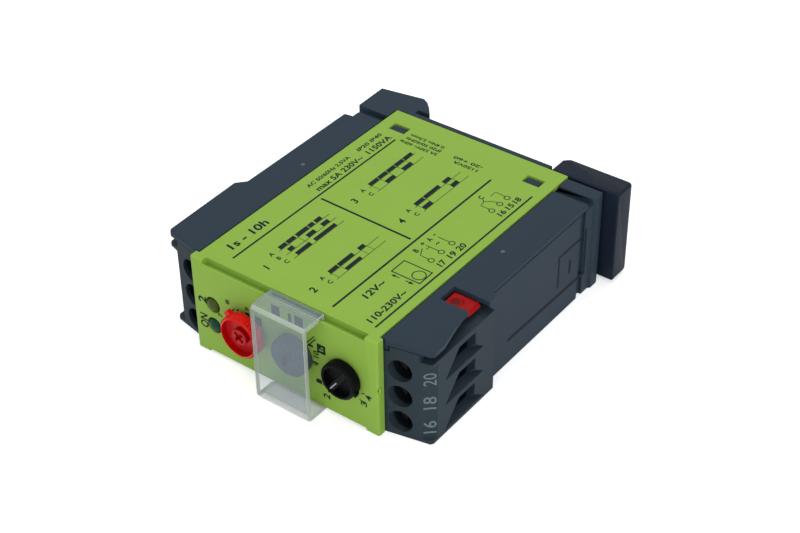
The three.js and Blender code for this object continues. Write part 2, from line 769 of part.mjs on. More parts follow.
// Side lid: tray under the green plate, rim over the terminal blocks, pocket for the catch
function sideLid() {
  const frontX = faceHalf + fitGap;
  const leadAt = (x) => shoulderAt(x) - lidLead;
  const leftEndX = -bodyHalf + hookNotchDepth;
  const noseX = terminalReach - lidNoseSetback;
  const reachX = terminalReach + lidOverhang;
  const leftNoseX = terminalReach - lidLeftNoseSetback;
  const waistX = bodyHalf + lidWaistProud;
  const sideX = bodyHalf + lidSideProud;
  const heelY = shoulderEndY - lidHeelSetback;
  const rightEndY = rearWallY - lidRightEndSetback;
  const leftEndY = rearWallY - lidLeftEndSetback;
  const outline = [
    [-frontX, tubFrontY], [frontX, tubFrontY], [frontX, leadAt(frontX)], [noseX, leadAt(noseX)],
    [reachX, lidReachY], [reachX, lidCurveY],
    [terminalReach - lidCurveSetback, catchPocketFrontY - lidCurveMidLength],
    [waistX, catchPocketFrontY - lidWaistLength],
    [waistX, catchPocketFrontY], [catchPocketX, catchPocketFrontY], [catchPocketX, catchPocketRearY],
    [lidHeelX, catchPocketRearY], [lidHeelX, heelY], [sideX, heelY + lidHeelSlope], [sideX, rightEndY],
    [0, rightEndY], [0, leftEndY], [leftEndX, leftEndY], [leftEndX, hookNotchFrontY + hookNotchSlope],
    [-sideX, hookNotchFrontY], [-sideX, heelY + lidHeelSlope], [-lidHeelX, heelY],
    [-terminalReach + lidLeftSetback, lidReachY], [-leftNoseX, leadAt(leftNoseX)], [-frontX, leadAt(frontX)]];
  const rim = prismZ(outline, lidUnderZ, lidFaceZ);
  const tray = block(-trayHalf, trayHalf, tubFrontY, trayEndY, trayBottomZ, lidFaceZ);
  const recess = block(
    -recessHalf, recessHalf, -cutOverrun, leftEndY + cutOverrun, recessFloorZ, moduleWidth + cutOverrun);
  return rim.add(tray).subtract(recess);
}

// Terminal block of one end: sloping screw face with a brow up to the lid, bevel between two flanges,
// three tapered wire mouths
function terminalBlock(side) {
  const body = prismZ(sided(side, [
    [blockInnerX, shoulderAt(blockInnerX)], [bevelStartX, shoulderAt(bevelStartX)],
    [terminalReach, bevelEndY], [terminalReach, shoulderEndY], [blockInnerX, shoulderEndY]]), 0, blockTopZ);
  const tipX = terminalReach - flangeTipSetback;
  const flangeOutline = sided(side, [
    [blockInnerX, shoulderAt(blockInnerX)], [tipX, shoulderAt(tipX)],
    [terminalReach, shoulderAt(tipX) + flangeTipRound], [terminalReach, shoulderEndY],
    [blockInnerX, shoulderEndY]]);
  const lowerFlange = prismZ(flangeOutline, 0, flangeThickness);
  const upperFlange = prismZ(flangeOutline, blockTopZ - flangeThickness, blockTopZ);
  const browStartX = trayHalf + fitGap;
  const browEndX = bevelStartX - browEndMargin;
  const brow = prismZ(sided(side, [
    [browStartX, shoulderAt(browStartX)], [browEndX, shoulderAt(browEndX)],
    [browEndX, shoulderAt(browEndX) + browDepth], [browStartX, shoulderAt(browStartX) + browDepth]]),
  blockTopZ - flangeThickness, lidUnderZ - fitGap);
  const foot = prismZ(sided(side, [
    [blockInnerX, shoulderAt(blockInnerX)], [browStartX, shoulderAt(browStartX)],
    [browStartX, shoulderAt(browStartX) + browDepth], [blockInnerX, shoulderAt(browStartX) + browDepth]]),
  blockTopZ - flangeThickness, trayBottomZ - fitGap);
  const cuts = terminalHeights.flatMap((z) => terminalCuts(side, z));
  return cutAll(joinAll([body, lowerFlange, upperFlange, brow, foot]), cuts);
}

// Room of one terminal: screwdriver hole, neck, clamp cell, bar slot, wire hole and tapered mouth
function terminalCuts(side, z) {
  const x = side * screwX;
  const cellStartX = blockInnerX + cellInnerWall;
  const cellEndX = cageEndX + fitGap;
  const holeHalf = cageWidth / 2;
  const mouthHalf = (terminalSpacing - mouthWeb) / 2;
  const mouthBelow = mouthHalf + mouthDrop;
  const mouthAbove = mouthHalf - mouthDrop;
  const holeRearY = barRearY + wireRoom;
  const barHalf = barWidth / 2 + fitGap;
  const ring = (atX, points) => points.map(([y, height]) => [side * atX, y, z + height]);
  const inner = [
    [barRearY, -holeHalf], [holeRearY, -holeHalf], [holeRearY, -mouthHeelDrop],
    [holeRearY, holeHalf], [barRearY, holeHalf]];
  const outer = [
    [mouthLowerFrontY, -mouthBelow], [shoulderEndY - mouthLowerRearMargin, -mouthBelow],
    [holeRearY, -mouthHeelDrop], [holeRearY, mouthAbove], [mouthUpperFrontY, mouthAbove]];
  return [
    rodY(screwHoleRadius, -cutOverrun, screwHoleEndY, x, z, roundSegments),
    rodY(screwShankRadius + fitGap, screwHoleEndY - neckThickness, cellFrontY + neckThickness, x, z, smallSegments),
    sidedBlock(side, cellStartX, cellEndX, cellFrontY, cellRearY, z - cellHalf, z + cellHalf),
    sidedBlock(side, cellEndX - fitGap, mouthInnerX, barRearY, holeRearY, z - holeHalf, z + holeHalf),
    sidedBlock(side, blockInnerX - cutOverrun, cellStartX + fitGap, barFrontY - fitGap, barRearY + fitGap,
      z - barHalf, z + barHalf),
    loft([ring(mouthInnerX, inner), ring(terminalReach, outer), ring(terminalReach + cutOverrun, outer)])];
}

function terminalScrew(side, z) {
  const headY = screwHoleEndY - fitGap - screwHeadThickness;
  const neckY = headY + screwHeadThickness;
  const endY = barFrontY - fitGap;
  const x = side * screwX;
  const body = turnedY([
    [0, headY], [screwHeadRadius, headY], [screwHeadRadius, neckY],
    [screwShankRadius, neckY], [screwShankRadius, endY], [0, endY]], x, z, smallSegments);
  const half = screwSlotWidth / 2;
  const slot = block(
    x - half, x + half, headY - cutOverrun, headY + screwSlotDepth, z - screwHeadRadius * 2, z + screwHeadRadius * 2);
  return body.subtract(slot);
}

// Rising cage: a square loop whose front wall rides on the screw
function clampCage(side, z) {
  const half = cageWidth / 2;
  const inner = half - cageSideWall;
  const loop = sidedBlock(side, cageStartX, cageEndX, cageY, cageEndY, z - half, z + half);
  const room = sidedBlock(
    side, cageStartX - cutOverrun, cageEndX + cutOverrun, cageY + cageFrontWall, cageEndY - cageRearWall,
    z - inner, z + inner);
  const thread = rodY(
    screwShankRadius + fitGap, cageY - cutOverrun, cageY + cageFrontWall + fitGap, side * screwX, z, smallSegments);
  return cutAll(loop, [room, thread]);
}

// Terminal bar: from inside the cage through the tub wall, with a leg down to the main board
function terminalBar(side, row) {
  const z = terminalHeights[row];
  const half = barWidth / 2;
  const legX = spineHalf - barLegMargin - row * barLegSpacing;
  const legHalf = barLegWidth / 2;
  return prismY(sided(side, [
    [legX - legHalf, boardSeatZ], [legX + legHalf, boardSeatZ], [legX + legHalf, z - half],
    [cageEndX, z - half], [cageEndX, z + half], [legX - legHalf, z + half]]), barFrontY, barRearY);
}

// Red catch: a tongue with a finger dimple and a thin bevelled end, held by two flanges under the lid
function lockingCatch() {
  const startX = catchPocketX + fitGap;
  const bottomZ = blockTopZ + fitGap;
  const frontY = catchPocketFrontY + fitGap;
  const rearY = catchPocketRearY - fitGap;
  const topZ = lidFaceZ - catchTopSetback;
  const footX = bodyHalf - catchFlangeSetback;
  const tongue = prismY([
    [startX, bottomZ], [footX, bottomZ], [footX, topZ - catchLipThickness], [bodyHalf, topZ - catchLipThickness],
    [bodyHalf, topZ - catchBevel], [bodyHalf - catchBevel, topZ], [startX, topZ]], frontY, rearY);
  const flange = block(
    startX, footX, frontY - catchFlangeReach, rearY + catchFlangeReach, bottomZ,
    bottomZ + catchFlangeThickness);
  const middleY = (frontY + rearY) / 2;
  const dimple = turnedZ([
    [0, topZ - catchDimpleDepth], [catchDimpleRadius * dimpleFloorShare, topZ - catchDimpleDepth],
    [catchDimpleRadius, topZ], [catchDimpleRadius, topZ + cutOverrun], [0, topZ + cutOverrun]],
  startX + catchDimpleMargin, middleY, roundSegments);
  return tongue.add(flange).subtract(dimple);
}

// Rail latch: slider behind the rear wall, wedge lip for the rail, neck and head inside the tub
function railLatch() {
  const frontY = rearWallY + fitGap;
  const latchRearY = rearSeatY + latchRearRise;
  const frontCorner = quarter(latchEndX - latchEndRadius, frontY + latchEndRadius, latchEndRadius, -90);
  const rearCorner = quarter(latchEndX - latchEndBevel, latchRearY - latchEndBevel, latchEndBevel, 0);
  const topZ = moduleWidth - latchTopSetback;
  const outline = prismZ([
    [latchStartX, frontY], ...frontCorner, ...rearCorner, [latchStartX + latchNoseBevel, latchRearY],
    [latchStartX, latchRearY - latchNoseBevel]], latchBottomZ, topZ);
  const edgeY = latchRearY - latchEdgeRadius;
  const rounded = prismX([
    [frontY, latchBottomZ], ...quarter(edgeY, latchBottomZ + latchEdgeRadius, latchEdgeRadius, -90),
    ...quarter(edgeY, topZ - latchEdgeRadius, latchEdgeRadius, 0), [frontY, topZ]], latchStartX, latchEndX);
  const body = outline.intersect(rounded);
  const lip = prismZ([
    [latchStartX - latchLip, lipY], [latchStartX + latchLip, lipY],
    [latchStartX + latchLip, lipY + latchLipThickness], [latchStartX, lipY + latchLipThickness]],
  midZ - latchLipHeight / 2, midZ + latchLipHeight / 2);
  const neckX = latchStartX + fitGap;
  const headY = rearWallY - wall - fitGap;
  const neck = block(
    neckX, neckX + latchNeckLength, headY - fitGap, frontY + fitGap,
    midZ - latchNeckHeight / 2, midZ + latchNeckHeight / 2);
  const head = block(
    neckX, neckX + latchNeckLength, headY - latchHeadThickness, headY,
    midZ - latchHeadHeight / 2, midZ + latchHeadHeight / 2);
  const window = block(
    latchEndX - latchPullDepth - latchPullWidth, latchEndX - latchPullDepth, latchRearY - latchEndBevel,
    latchRearY + cutOverrun, midZ - latchPullLength / 2, midZ + latchPullLength / 2);
  return joinAll([body, lip, neck, head]).subtract(window);
}

// Helix along X for the latch spring
class Helix extends THREE.Curve {
  constructor(x0, length, y, z) {
    super();
    Object.assign(this, { x0, length, y, z });
  }

  getPoint(t, target = new THREE.Vector3()) {
    const angle = 2 * Math.PI * springTurns * t;
    return target.set(
      this.x0 + this.length * t, this.y + springRadius * Math.cos(angle), this.z + springRadius * Math.sin(angle));
  }
}

// Coil spring between the latch's head and the side wall of the tub
function latchSpring() {
  const startX = latchStartX + fitGap + latchNeckLength + fitGap + springWireRadius;
  const endX = bodyHalf - wall - fitGap - springWireRadius;
  const y = rearWallY - wall - fitGap - springRadius - springWireRadius;
  const path = new Helix(startX, endX - startX, y, midZ);
  const steps = springTurns * springStepsPerTurn;
  const section = [];
  for (let side = 0; side < springSides; side += 1) {
    const angle = (2 * Math.PI * side) / springSides;
    section.push([springWireRadius * Math.cos(angle), springWireRadius * Math.sin(angle)]);
  }
  const wire = new THREE.ExtrudeGeometry(shapeOf(section), { steps, extrudePath: path });
  const places = path.getSpacedPoints(steps);
  let least = endX - startX;
  places.forEach((place, i) => {
    places.slice(i + springStepsPerTurn / 2).forEach((other) => {
      least = Math.min(least, place.distanceTo(other) - 2 * springWireRadius);
    });
  });
  console.log(`latch_spring least gap to itself ${least.toFixed(2)} mm`);
  return toSolid(wire);
}

// Places on the main board
const mainBoardRearY = roofFrontY - mainBoardRearMargin;

function mainBoard() {
  const narrow = spineHalf - wall - mainBoardMargin;
  const wide = bodyHalf - wall - mainBoardWingMargin;
  const wingY = shoulderWallY + wall + mainBoardWingMargin;
  return prismZ([
    [-narrow, mainBoardFrontY], [narrow, mainBoardFrontY], [narrow, wingY], [wide, wingY],
    [wide, mainBoardRearY], [-wide, mainBoardRearY], [-wide, wingY], [-narrow, wingY]], boardBottomZ, boardTopZ);
}

function frontBoard() {
  const half = spineHalf - wall - mainBoardMargin;
  const topZ = trayBottomZ - frontBoardHeadroom;
  return block(-half, half, frontBoardY, frontBoardY + frontBoardThickness, frontBoardBottomZ, topZ);
}

function boardHeader() {
  const y = frontBoardY + frontBoardThickness + fitGap;
  return block(-headerLength / 2, headerLength / 2, y, y + headerDepth, boardSeatZ, boardSeatZ + headerHeight);
}

// Potentiometer or rotary switch on the front board, with a bore for the knob's shaft
function controlBody(x) {
  const half = controlBodySide / 2;
  const frontY = tubFrontY + wall + fitGap;
  const body = block(x - half, x + half, frontY, frontBoardY - fitGap, midZ - half, midZ + half);
  return body.subtract(rodY(shaftRadius + fitGap, frontY - fitGap, shaftLength + fitGap, x, midZ, roundSegments));
}

// Relay: places that its pieces share
const relayHeight = trayBottomZ - boardSeatZ - relayHeadroom;
const relayWidth = relayHeight - relayTallness;
const relayFrontY = mainBoardRearY - relayRearMargin - relayLength;
const relayBaseTopZ = boardSeatZ + relayBaseThickness;
const relayInsideZ = relayBaseTopZ + fitGap;
const yokeY = relayFrontY + relayCaseWall + fitGap;
const coreStartY = yokeY + yokeThickness;
const poleY = coreStartY + coreLength;
const yokeTopZ = boardSeatZ + relayHeight - relayCaseWall - fitGap;
const coilRoom = yokeTopZ - yokeThickness - relayInsideZ;
const coreZ = relayInsideZ + coilRoom / 2;
const bobbinFlangeRadius = coilRoom / 2 - bobbinRoom;
const armatureY = poleY + armatureGap;
const bladeY = armatureY + armatureThickness + fitGap;
const buttonZ = relayInsideZ + buttonHeight;

function relayBase() {
  const half = relayWidth / 2;
  return block(relayX - half, relayX + half, relayFrontY, relayFrontY + relayLength, boardSeatZ, relayBaseTopZ);
}

function relayCase() {
  const half = relayWidth / 2;
  const inner = half - relayCaseWall;
  const topZ = boardSeatZ + relayHeight;
  const shell = block(relayX - half, relayX + half, relayFrontY, relayFrontY + relayLength, relayInsideZ, topZ);
  const room = block(
    relayX - inner, relayX + inner, relayFrontY + relayCaseWall, relayFrontY + relayLength - relayCaseWall,
    relayInsideZ - cutOverrun, topZ - relayCaseWall);
  return shell.subtract(room);
}

// Yoke: rear wall, top plate and the round core through the coil
function relayYoke() {
  const half = relayWidth / 2 - yokeSideRoom;
  const back = block(relayX - half, relayX + half, yokeY, coreStartY, relayInsideZ, yokeTopZ);
  const plate = block(
    relayX - half, relayX + half, yokeY, armatureY - fitGap, yokeTopZ - yokeThickness, yokeTopZ);
  const core = rodY(coreRadius, coreStartY - fitGap, poleY, relayX, coreZ, smallSegments);
  return joinAll([back, plate, core]);
}

function relayBobbin() {
  const bore = coreRadius + fitGap;
  const tube = bore + bobbinTubeWall;
  const startY = coreStartY + fitGap;
  const endY = poleY - fitGap;
  return turnedY([
    [bore, startY], [bobbinFlangeRadius, startY], [bobbinFlangeRadius, startY + bobbinFlange],
    [tube, startY + bobbinFlange], [tube, endY - bobbinFlange], [bobbinFlangeRadius, endY - bobbinFlange],
    [bobbinFlangeRadius, endY], [bore, endY], [bore, startY]], relayX, coreZ, roundSegments);
}

function relayWinding() {
  const inner = coreRadius + bobbinTubeWall + 2 * fitGap;
  const outer = bobbinFlangeRadius - windingSetback;
  const startY = coreStartY + bobbinFlange + 2 * fitGap;
  const endY = poleY - bobbinFlange - 2 * fitGap;
  return turnedY([
    [inner, startY], [outer, startY], [outer, endY], [inner, endY], [inner, startY]], relayX, coreZ, roundSegments);
}

function relayArmature() {
  const half = relayWidth / 2 - armatureSideRoom;
  const footZ = relayInsideZ + armatureFootRoom;
  return block(relayX - half, relayX + half, armatureY, armatureY + armatureThickness, footZ, yokeTopZ);
}

// Contact blade behind the armature, with a contact button at its foot
function relayBlade() {
  const half = bladeWidth / 2;
  const blade = block(
    relayX - half, relayX + half, bladeY, bladeY + bladeThickness, relayInsideZ + fitGap,
    relayInsideZ + bladeHeight);
  const button = rodY(
    buttonRadius, bladeY - buttonReach, bladeY + bladeThickness + buttonReach, relayX, buttonZ, smallSegments);
  return blade.add(button);
}

function openContact() {
  const half = bladeWidth / 2;
  const rearY = bladeY - buttonReach - fitGap - contactStroke;
  return block(
    relayX - half, relayX + half, rearY - contactThickness, rearY, relayInsideZ, relayInsideZ + openContactHeight);
}

function restContact() {
  const half = bladeWidth / 2;
  const frontY = bladeY + bladeThickness + buttonReach + fitGap;
  return block(
    relayX - half, relayX + half, frontY, frontY + contactThickness, relayInsideZ, relayInsideZ + restContactHeight);
}

function filmCapacitor() {
  const halfLength = filmCapacitorLength / 2;
  const halfWidth = filmCapacitorWidth / 2;
  const y = mainBoardRearY - filmCapacitorRearMargin;
  return block(
    filmCapacitorX - halfLength, filmCapacitorX + halfLength, y - halfWidth, y + halfWidth,
    boardSeatZ, boardSeatZ + filmCapacitorHeight);
}

function electrolytic() {
  const topZ = boardSeatZ + electrolyticHeight;
  return turnedZ([
    [0, boardSeatZ], [electrolyticRadius, boardSeatZ], [electrolyticRadius, topZ], [0, topZ]],
  electrolyticX, mainBoardRearY - electrolyticRearMargin, roundSegments);
}

function varistor() {
  const half = varistorThickness / 2;
  const y = mainBoardRearY - varistorRearMargin;
  return rodY(varistorRadius, y - half, y + half, varistorX, boardSeatZ + varistorRadius, roundSegments);
}

function choke() {
  const topZ = boardSeatZ + chokeHeight;
  return turnedZ([
    [0, boardSeatZ], [chokeRadius, boardSeatZ], [chokeRadius, boardSeatZ + chokeFlange],
    [chokeWaistRadius, boardSeatZ + chokeFlange], [chokeWaistRadius, topZ - chokeFlange],
    [chokeRadius, topZ - chokeFlange], [chokeRadius, topZ], [0, topZ]],
  chokeX, mainBoardRearY - chokeRearMargin, roundSegments);
}

function controlChip() {
  return block(
    chipX - chipLength / 2, chipX + chipLength / 2, chipY - chipWidth / 2, chipY + chipWidth / 2,
    boardSeatZ, boardSeatZ + chipThickness);
}

addPiece('housing_base', housingBase(), housingGrey, 0.55, 0);
addPiece('side_lid', sideLid(), housingGrey, 0.55, 0);
addPiece('front_cover', frontCover(), green, 0.45, 0);
addPiece('clear_cover', clearCover(), 0xdfe6e6, 0.1, 0);
addPiece('time_knob', timeKnob(), red, 0.4, 0);
addPiece('range_knob', rangeKnob(), 0x66717a, 0.5, 0);
addPiece('function_knob', functionKnob(), 0x1d1f24, 0.4, 0);
addPiece('lamp_upper', lamp(lampUpperZ), 0xa8a24a, 0.3, 0);
addPiece('lamp_lower', lamp(lampLowerZ), 0x5f9a86, 0.3, 0);
addPiece('locking_catch', lockingCatch(), red, 0.4, 0);
addPiece('rail_latch', railLatch(), black, 0.5, 0);
addPiece('latch_spring', latchSpring(), steel, 0.3, 1);
addPiece('main_board', mainBoard(), boardGreen, 0.6, 0);
addPiece('front_board', frontBoard(), boardGreen, 0.6, 0);
addPiece('board_header', boardHeader(), black, 0.5, 0);
addPiece('time_potentiometer', controlBody(timeKnobX), 0x3c4a86, 0.5, 0);
addPiece('range_switch', controlBody(rangeKnobX), 0x3c4a86, 0.5, 0);
addPiece('function_switch', controlBody(functionKnobX), 0x3c4a86, 0.5, 0);
addPiece('relay_base', relayBase(), 0x222428, 0.5, 0);
addPiece('relay_case', relayCase(), 0xd8dad4, 0.3, 0);
addPiece('relay_yoke', relayYoke(), steel, 0.35, 1);
addPiece('relay_bobbin', relayBobbin(), 0xe6e2d2, 0.5, 0);
addPiece('relay_winding', relayWinding(), copper, 0.4, 1);
addPiece('relay_armature', relayArmature(), steel, 0.35, 1);
addPiece('relay_blade', relayBlade(), brass, 0.35, 1);
addPiece('relay_open_contact', openContact(), brass, 0.35, 1);
addPiece('relay_rest_contact', restContact(), brass, 0.35, 1);
addPiece('film_capacitor', filmCapacitor(), 0xb03a2e, 0.5, 0);
addPiece('electrolytic_capacitor', electrolytic(), 0x2a2d44, 0.4, 0);
addPiece('varistor', varistor(), 0x2f5fa8, 0.4, 0);
addPiece('choke', choke(), 0x4a4a4c, 0.6, 0);
addPiece('control_chip', controlChip(), black, 0.5, 0);

for (const [end, side] of [['right', 1], ['left', -1]]) {
  addPiece(`terminal_block_${end}`, terminalBlock(side), blockGrey, 0.55, 0);
  terminalHeights.forEach((z, row) => {
    addPiece(`terminal_screw_${end}_${row + 1}`, terminalScrew(side, z), brass, 0.35, 1);
    addPiece(`clamp_cage_${end}_${row + 1}`, clampCage(side, z), steel, 0.35, 1);
    addPiece(`terminal_bar_${end}_${row + 1}`, terminalBar(side, row), brass, 0.35, 1);
  });
}

// The origin is the middle of the underside of the part's box.
const middleX = (latchEndX - lidHeelX) / 2;
const middleY = (hookPeakY - coverReach) / 2;
timer.position.set(-middleX, -middleY, 0);

export default timer;
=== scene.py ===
import json
import math

import bpy
from mathutils import Matrix, Vector


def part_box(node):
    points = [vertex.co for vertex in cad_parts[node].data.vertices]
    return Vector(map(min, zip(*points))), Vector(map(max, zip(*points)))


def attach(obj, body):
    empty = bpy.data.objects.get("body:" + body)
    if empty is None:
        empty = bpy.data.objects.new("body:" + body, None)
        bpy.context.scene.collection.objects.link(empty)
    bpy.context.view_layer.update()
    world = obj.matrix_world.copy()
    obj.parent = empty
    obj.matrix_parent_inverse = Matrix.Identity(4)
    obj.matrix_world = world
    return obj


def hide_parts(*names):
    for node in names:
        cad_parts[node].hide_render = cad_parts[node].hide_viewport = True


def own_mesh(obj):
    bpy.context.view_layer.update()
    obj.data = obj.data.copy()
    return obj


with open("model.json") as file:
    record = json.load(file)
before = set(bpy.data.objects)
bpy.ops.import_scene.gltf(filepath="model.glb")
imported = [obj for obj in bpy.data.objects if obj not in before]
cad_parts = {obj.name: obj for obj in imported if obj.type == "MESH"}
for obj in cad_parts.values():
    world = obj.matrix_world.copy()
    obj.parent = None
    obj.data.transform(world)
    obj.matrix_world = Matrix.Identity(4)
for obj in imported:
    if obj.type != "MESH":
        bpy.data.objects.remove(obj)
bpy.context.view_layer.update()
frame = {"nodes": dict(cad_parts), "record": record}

# Camera: it stands in front of the module, to its right and above it. Its place, turn and lens were
# fitted to the corners of the housing.
camera_place = Vector((0.16217, -0.21085, 0.21175))
camera_right = Vector((0.80060, 0.59920, -0.01100)).normalized()
camera_up = Vector((-0.35580, 0.49000, 0.79600))
camera_back = camera_right.cross(camera_up).normalized()
camera_up = camera_back.cross(camera_right)
bpy.ops.object.select_all(action="DESELECT")
bpy.ops.object.camera_add()
camera = bpy.context.active_object
camera.matrix_world = (Matrix.Translation(camera_place)
                       @ Matrix((camera_right, camera_up, camera_back)).transposed().to_4x4())
camera.data.sensor_width = 36
camera.data.lens = 74.63
camera.data.clip_start = 0.02
bpy.context.scene.camera = camera
bpy.context.scene.view_settings.view_transform = "Standard"

# Studio: the module lies on a white sheet that keeps its soft shadow, under a large softbox. Another
# stands at its right, because the side walls are as bright as the top, and a weak one in front.


class Wire:
    """An output of a shader node. A sum written with it adds Math nodes."""

    def __init__(self, tree, socket=None):
        self.tree = tree
        self.socket = socket

    def node(self, kind, inputs, output=0, **settings):
        made = self.tree.nodes.new(kind)
        for name, value in settings.items():
            setattr(made, name, value)
        for key, value in inputs.items():
            if isinstance(value, Wire):
                self.tree.links.new(value.socket, made.inputs[key])
            else:
                made.inputs[key].default_value = value
        return Wire(self.tree, made.outputs[output]) if len(made.outputs) else None

    def math(self, operation, first, second=0.0):
        return self.node("ShaderNodeMath", {0: first, 1: second}, operation=operation)

    def axes(self):
        """The x, y and z of a place."""
        split = self.node("ShaderNodeSeparateXYZ", {0: self}).socket.node
        return [Wire(self.tree, output) for output in split.outputs]

    def reach(self, other):
        """How far two steps at a right angle lead."""
        return self.math("SQRT", self * self + other * other)

    def blend(self, first, second):
        """The first colour where this share is 0 and the second where it is 1."""
        return self.node("ShaderNodeMix", {0: self, 6: first, 7: second}, 2, data_type="RGBA")

    def __add__(self, other):
        return self.math("ADD", self, other)

    def __sub__(self, other):
        return self.math("SUBTRACT", self, other)

    def __rsub__(self, other):
        return self.math("SUBTRACT", other, self)

    def __mul__(self, other):
        return self.math("MULTIPLY", self, other)

    def __gt__(self, other):
        return self.math("GREATER_THAN", self, other)

    def __lt__(self, other):
        return self.math("LESS_THAN", self, other)

    __radd__ = __add__
    __rmul__ = __mul__


def tone(red, green, blue):
    """A screen colour from 0 to 255 as the linear colour that a shader takes."""
    shares = [value / 255 for value in (red, green, blue)]
    return (*[s / 12.92 if s <= 0.04045 else ((s + 0.055) / 1.055) ** 2.4 for s in shares], 1)


def material_of(name):
    made = bpy.data.materials.new(name)
    made.use_nodes = True
    made.node_tree.nodes.clear()
    return made, Wire(made.node_tree)


def close_with(wire, shader):
    wire.node("ShaderNodeOutputMaterial", {"Surface": shader})


def looked_at(wire):
    """1 for what is seen direct, through clear plastic or in gloss, and 0 for light that strays."""
    direct, through, glossy = [wire.node("ShaderNodeLightPath", {}, f"Is {kind} Ray")
                               for kind in ("Camera", "Transmission", "Glossy")]
    return wire.math("MAXIMUM", wire.math("MAXIMUM", direct, through), glossy)


white = (1, 1, 1, 1)
sheet_material, wire = material_of("white_sheet")
paper = wire.node("ShaderNodeBsdfDiffuse", {"Color": tone(245, 245, 246)})
glow = wire.node("ShaderNodeEmission", {"Color": white, "Strength": 0.55})
lit_paper = wire.node("ShaderNodeAddShader", {0: paper, 1: glow})
close_with(wire, wire.node("ShaderNodeMixShader", {0: looked_at(wire), 1: paper, 2: lit_paper}))
mm = 0.001
sheet_side, sheet_gap = 6, 0.05 * mm
bpy.ops.mesh.primitive_plane_add(size=sheet_side, location=(0, 0, -sheet_gap))
sheet = bpy.context.active_object
sheet.name = "white_sheet"
sheet.data.materials.append(sheet_material)

world = bpy.data.worlds.new("studio")
bpy.context.scene.world = world
world.use_nodes = True
world.node_tree.nodes.clear()
wire = Wire(world.node_tree)
ambient = 0.30
air = wire.node("ShaderNodeBackground", {
    "Color": white, "Strength": ambient + looked_at(wire) * (1 - ambient)})
wire.node("ShaderNodeOutputWorld", {"Surface": air})

softboxes = (
    ("softbox_above", (-0.10, 0.05, 0.75), 0.9, 3.6),
    ("softbox_right", (0.75, -0.35, 0.32), 0.6, 2.7),
    ("softbox_front", (0.05, -0.80, 0.35), 0.6, 1.2),
)
for lamp_name, place, side, power in softboxes:
    bpy.ops.object.light_add(type="AREA", location=place)
    softbox = bpy.context.active_object
    softbox.name = lamp_name
    softbox.data.size = side
    softbox.data.energy = power
    softbox.rotation_euler = Vector(place).to_track_quat("Z", "Y").to_euler()

# Housing: tub and lid of glass-filled grey-blue plastic, moulded in a finely eroded tool, so the
# surface is matt with a fine tooth and the edges have a small radius. The lid closes the tub.


def plastic(name, base, pale, roughness, tooth=7000, relief=0.1, specular=0.08, dust=0.25,
            shade_painter=None):
    """Moulded plastic: slow clouds in its colour, a fine tooth in its surface and a little dust."""
    made, wire = material_of(name)
    place = wire.node("ShaderNodeTexCoord", {}, "Object")
    clouds = wire.node("ShaderNodeTexNoise", {"Vector": place, "Scale": 160.0, "Detail": 5.0})
    grain = wire.node("ShaderNodeTexNoise", {"Vector": place, "Scale": tooth, "Detail": 3.0})
    cells = {"Vector": place, "Scale": 850.0}
    near = wire.node("ShaderNodeTexVoronoi", cells, "Distance")
    pick = wire.node("ShaderNodeTexVoronoi", cells, "Color")
    speck_radius, dusty_cells, cloud_share, sheen_swing = 0.07, 0.14, 0.6, 0.12
    speck = (near < speck_radius) * (pick > 1 - dusty_cells) * dust
    color = (clouds * cloud_share + grain * (1 - cloud_share)).blend(base, pale)
    # Shade painted into the colour, where a function that paints it is given.
    if shade_painter:
        color = shade_painter(place, color)
    color = speck.blend(color, tone(170, 172, 170))
    bump = wire.node("ShaderNodeBump", {"Strength": relief, "Distance": 0.05 * mm, "Height": grain})
    close_with(wire, wire.node("ShaderNodeBsdfPrincipled", {
        "Base Color": color, "Roughness": roughness + sheen_swing * (clouds - 0.5), "Normal": bump,
        "Specular IOR Level": specular}))
    return made


def moulding(node, name, body, material, edge, segments=2, joined=True):
    """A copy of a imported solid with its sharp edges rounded, which stands for that solid."""
    doubles = 0.002 * mm
    flat, soft, sharp = math.radians(0.5), math.radians(30), math.radians(35)
    bpy.ops.object.select_all(action="DESELECT")
    solid = frame["nodes"][node]
    solid.select_set(True)
    bpy.context.view_layer.objects.active = solid
    bpy.ops.object.duplicate()
    piece = bpy.context.active_object
    piece.name = name
    piece.parent = None
    for key in list(piece.keys()):
        del piece[key]
    bpy.ops.object.mode_set(mode="EDIT")
    bpy.ops.mesh.select_all(action="SELECT")
    bpy.ops.mesh.remove_doubles(threshold=doubles)
    if joined:
        bpy.ops.mesh.dissolve_limited(angle_limit=flat)
    bpy.ops.object.mode_set(mode="OBJECT")
    bpy.ops.object.shade_smooth_by_angle(angle=soft)
    if edge:
        rounding = piece.modifiers.new("edge", "BEVEL")
        rounding.width = edge
        rounding.segments = segments
        rounding.angle_limit = sharp
        rounding.use_clamp_overlap = False
        rounding.miter_outer = "MITER_SHARP"
        rounding.harden_normals = True
        bpy.ops.object.modifier_apply(modifier=rounding.name)
    piece.data.materials.clear()
    piece.data.materials.append(material)
    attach(piece, body)
    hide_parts(node)
    return piece


housing_plastic = plastic("housing_plastic", tone(41, 54, 65), tone(49, 62, 74), 0.55)
moulding("housing_base", "tub_moulding", "housing", housing_plastic, 0.18 * mm)
moulding("side_lid", "lid_moulding", "housing", housing_plastic, 0.15 * mm)

# Terminal blocks: separate mouldings of the same plastic that slide into the ends of the tub, with
# a tapered mouth for each wire and a round hole for each screwdriver. Deep in, hardly any light
# reaches the walls, so that shade is painted into the colour there.
right_of_middle, behind_front = 0.75 * mm, 33.7 * mm  # where the frame's origin is on the module


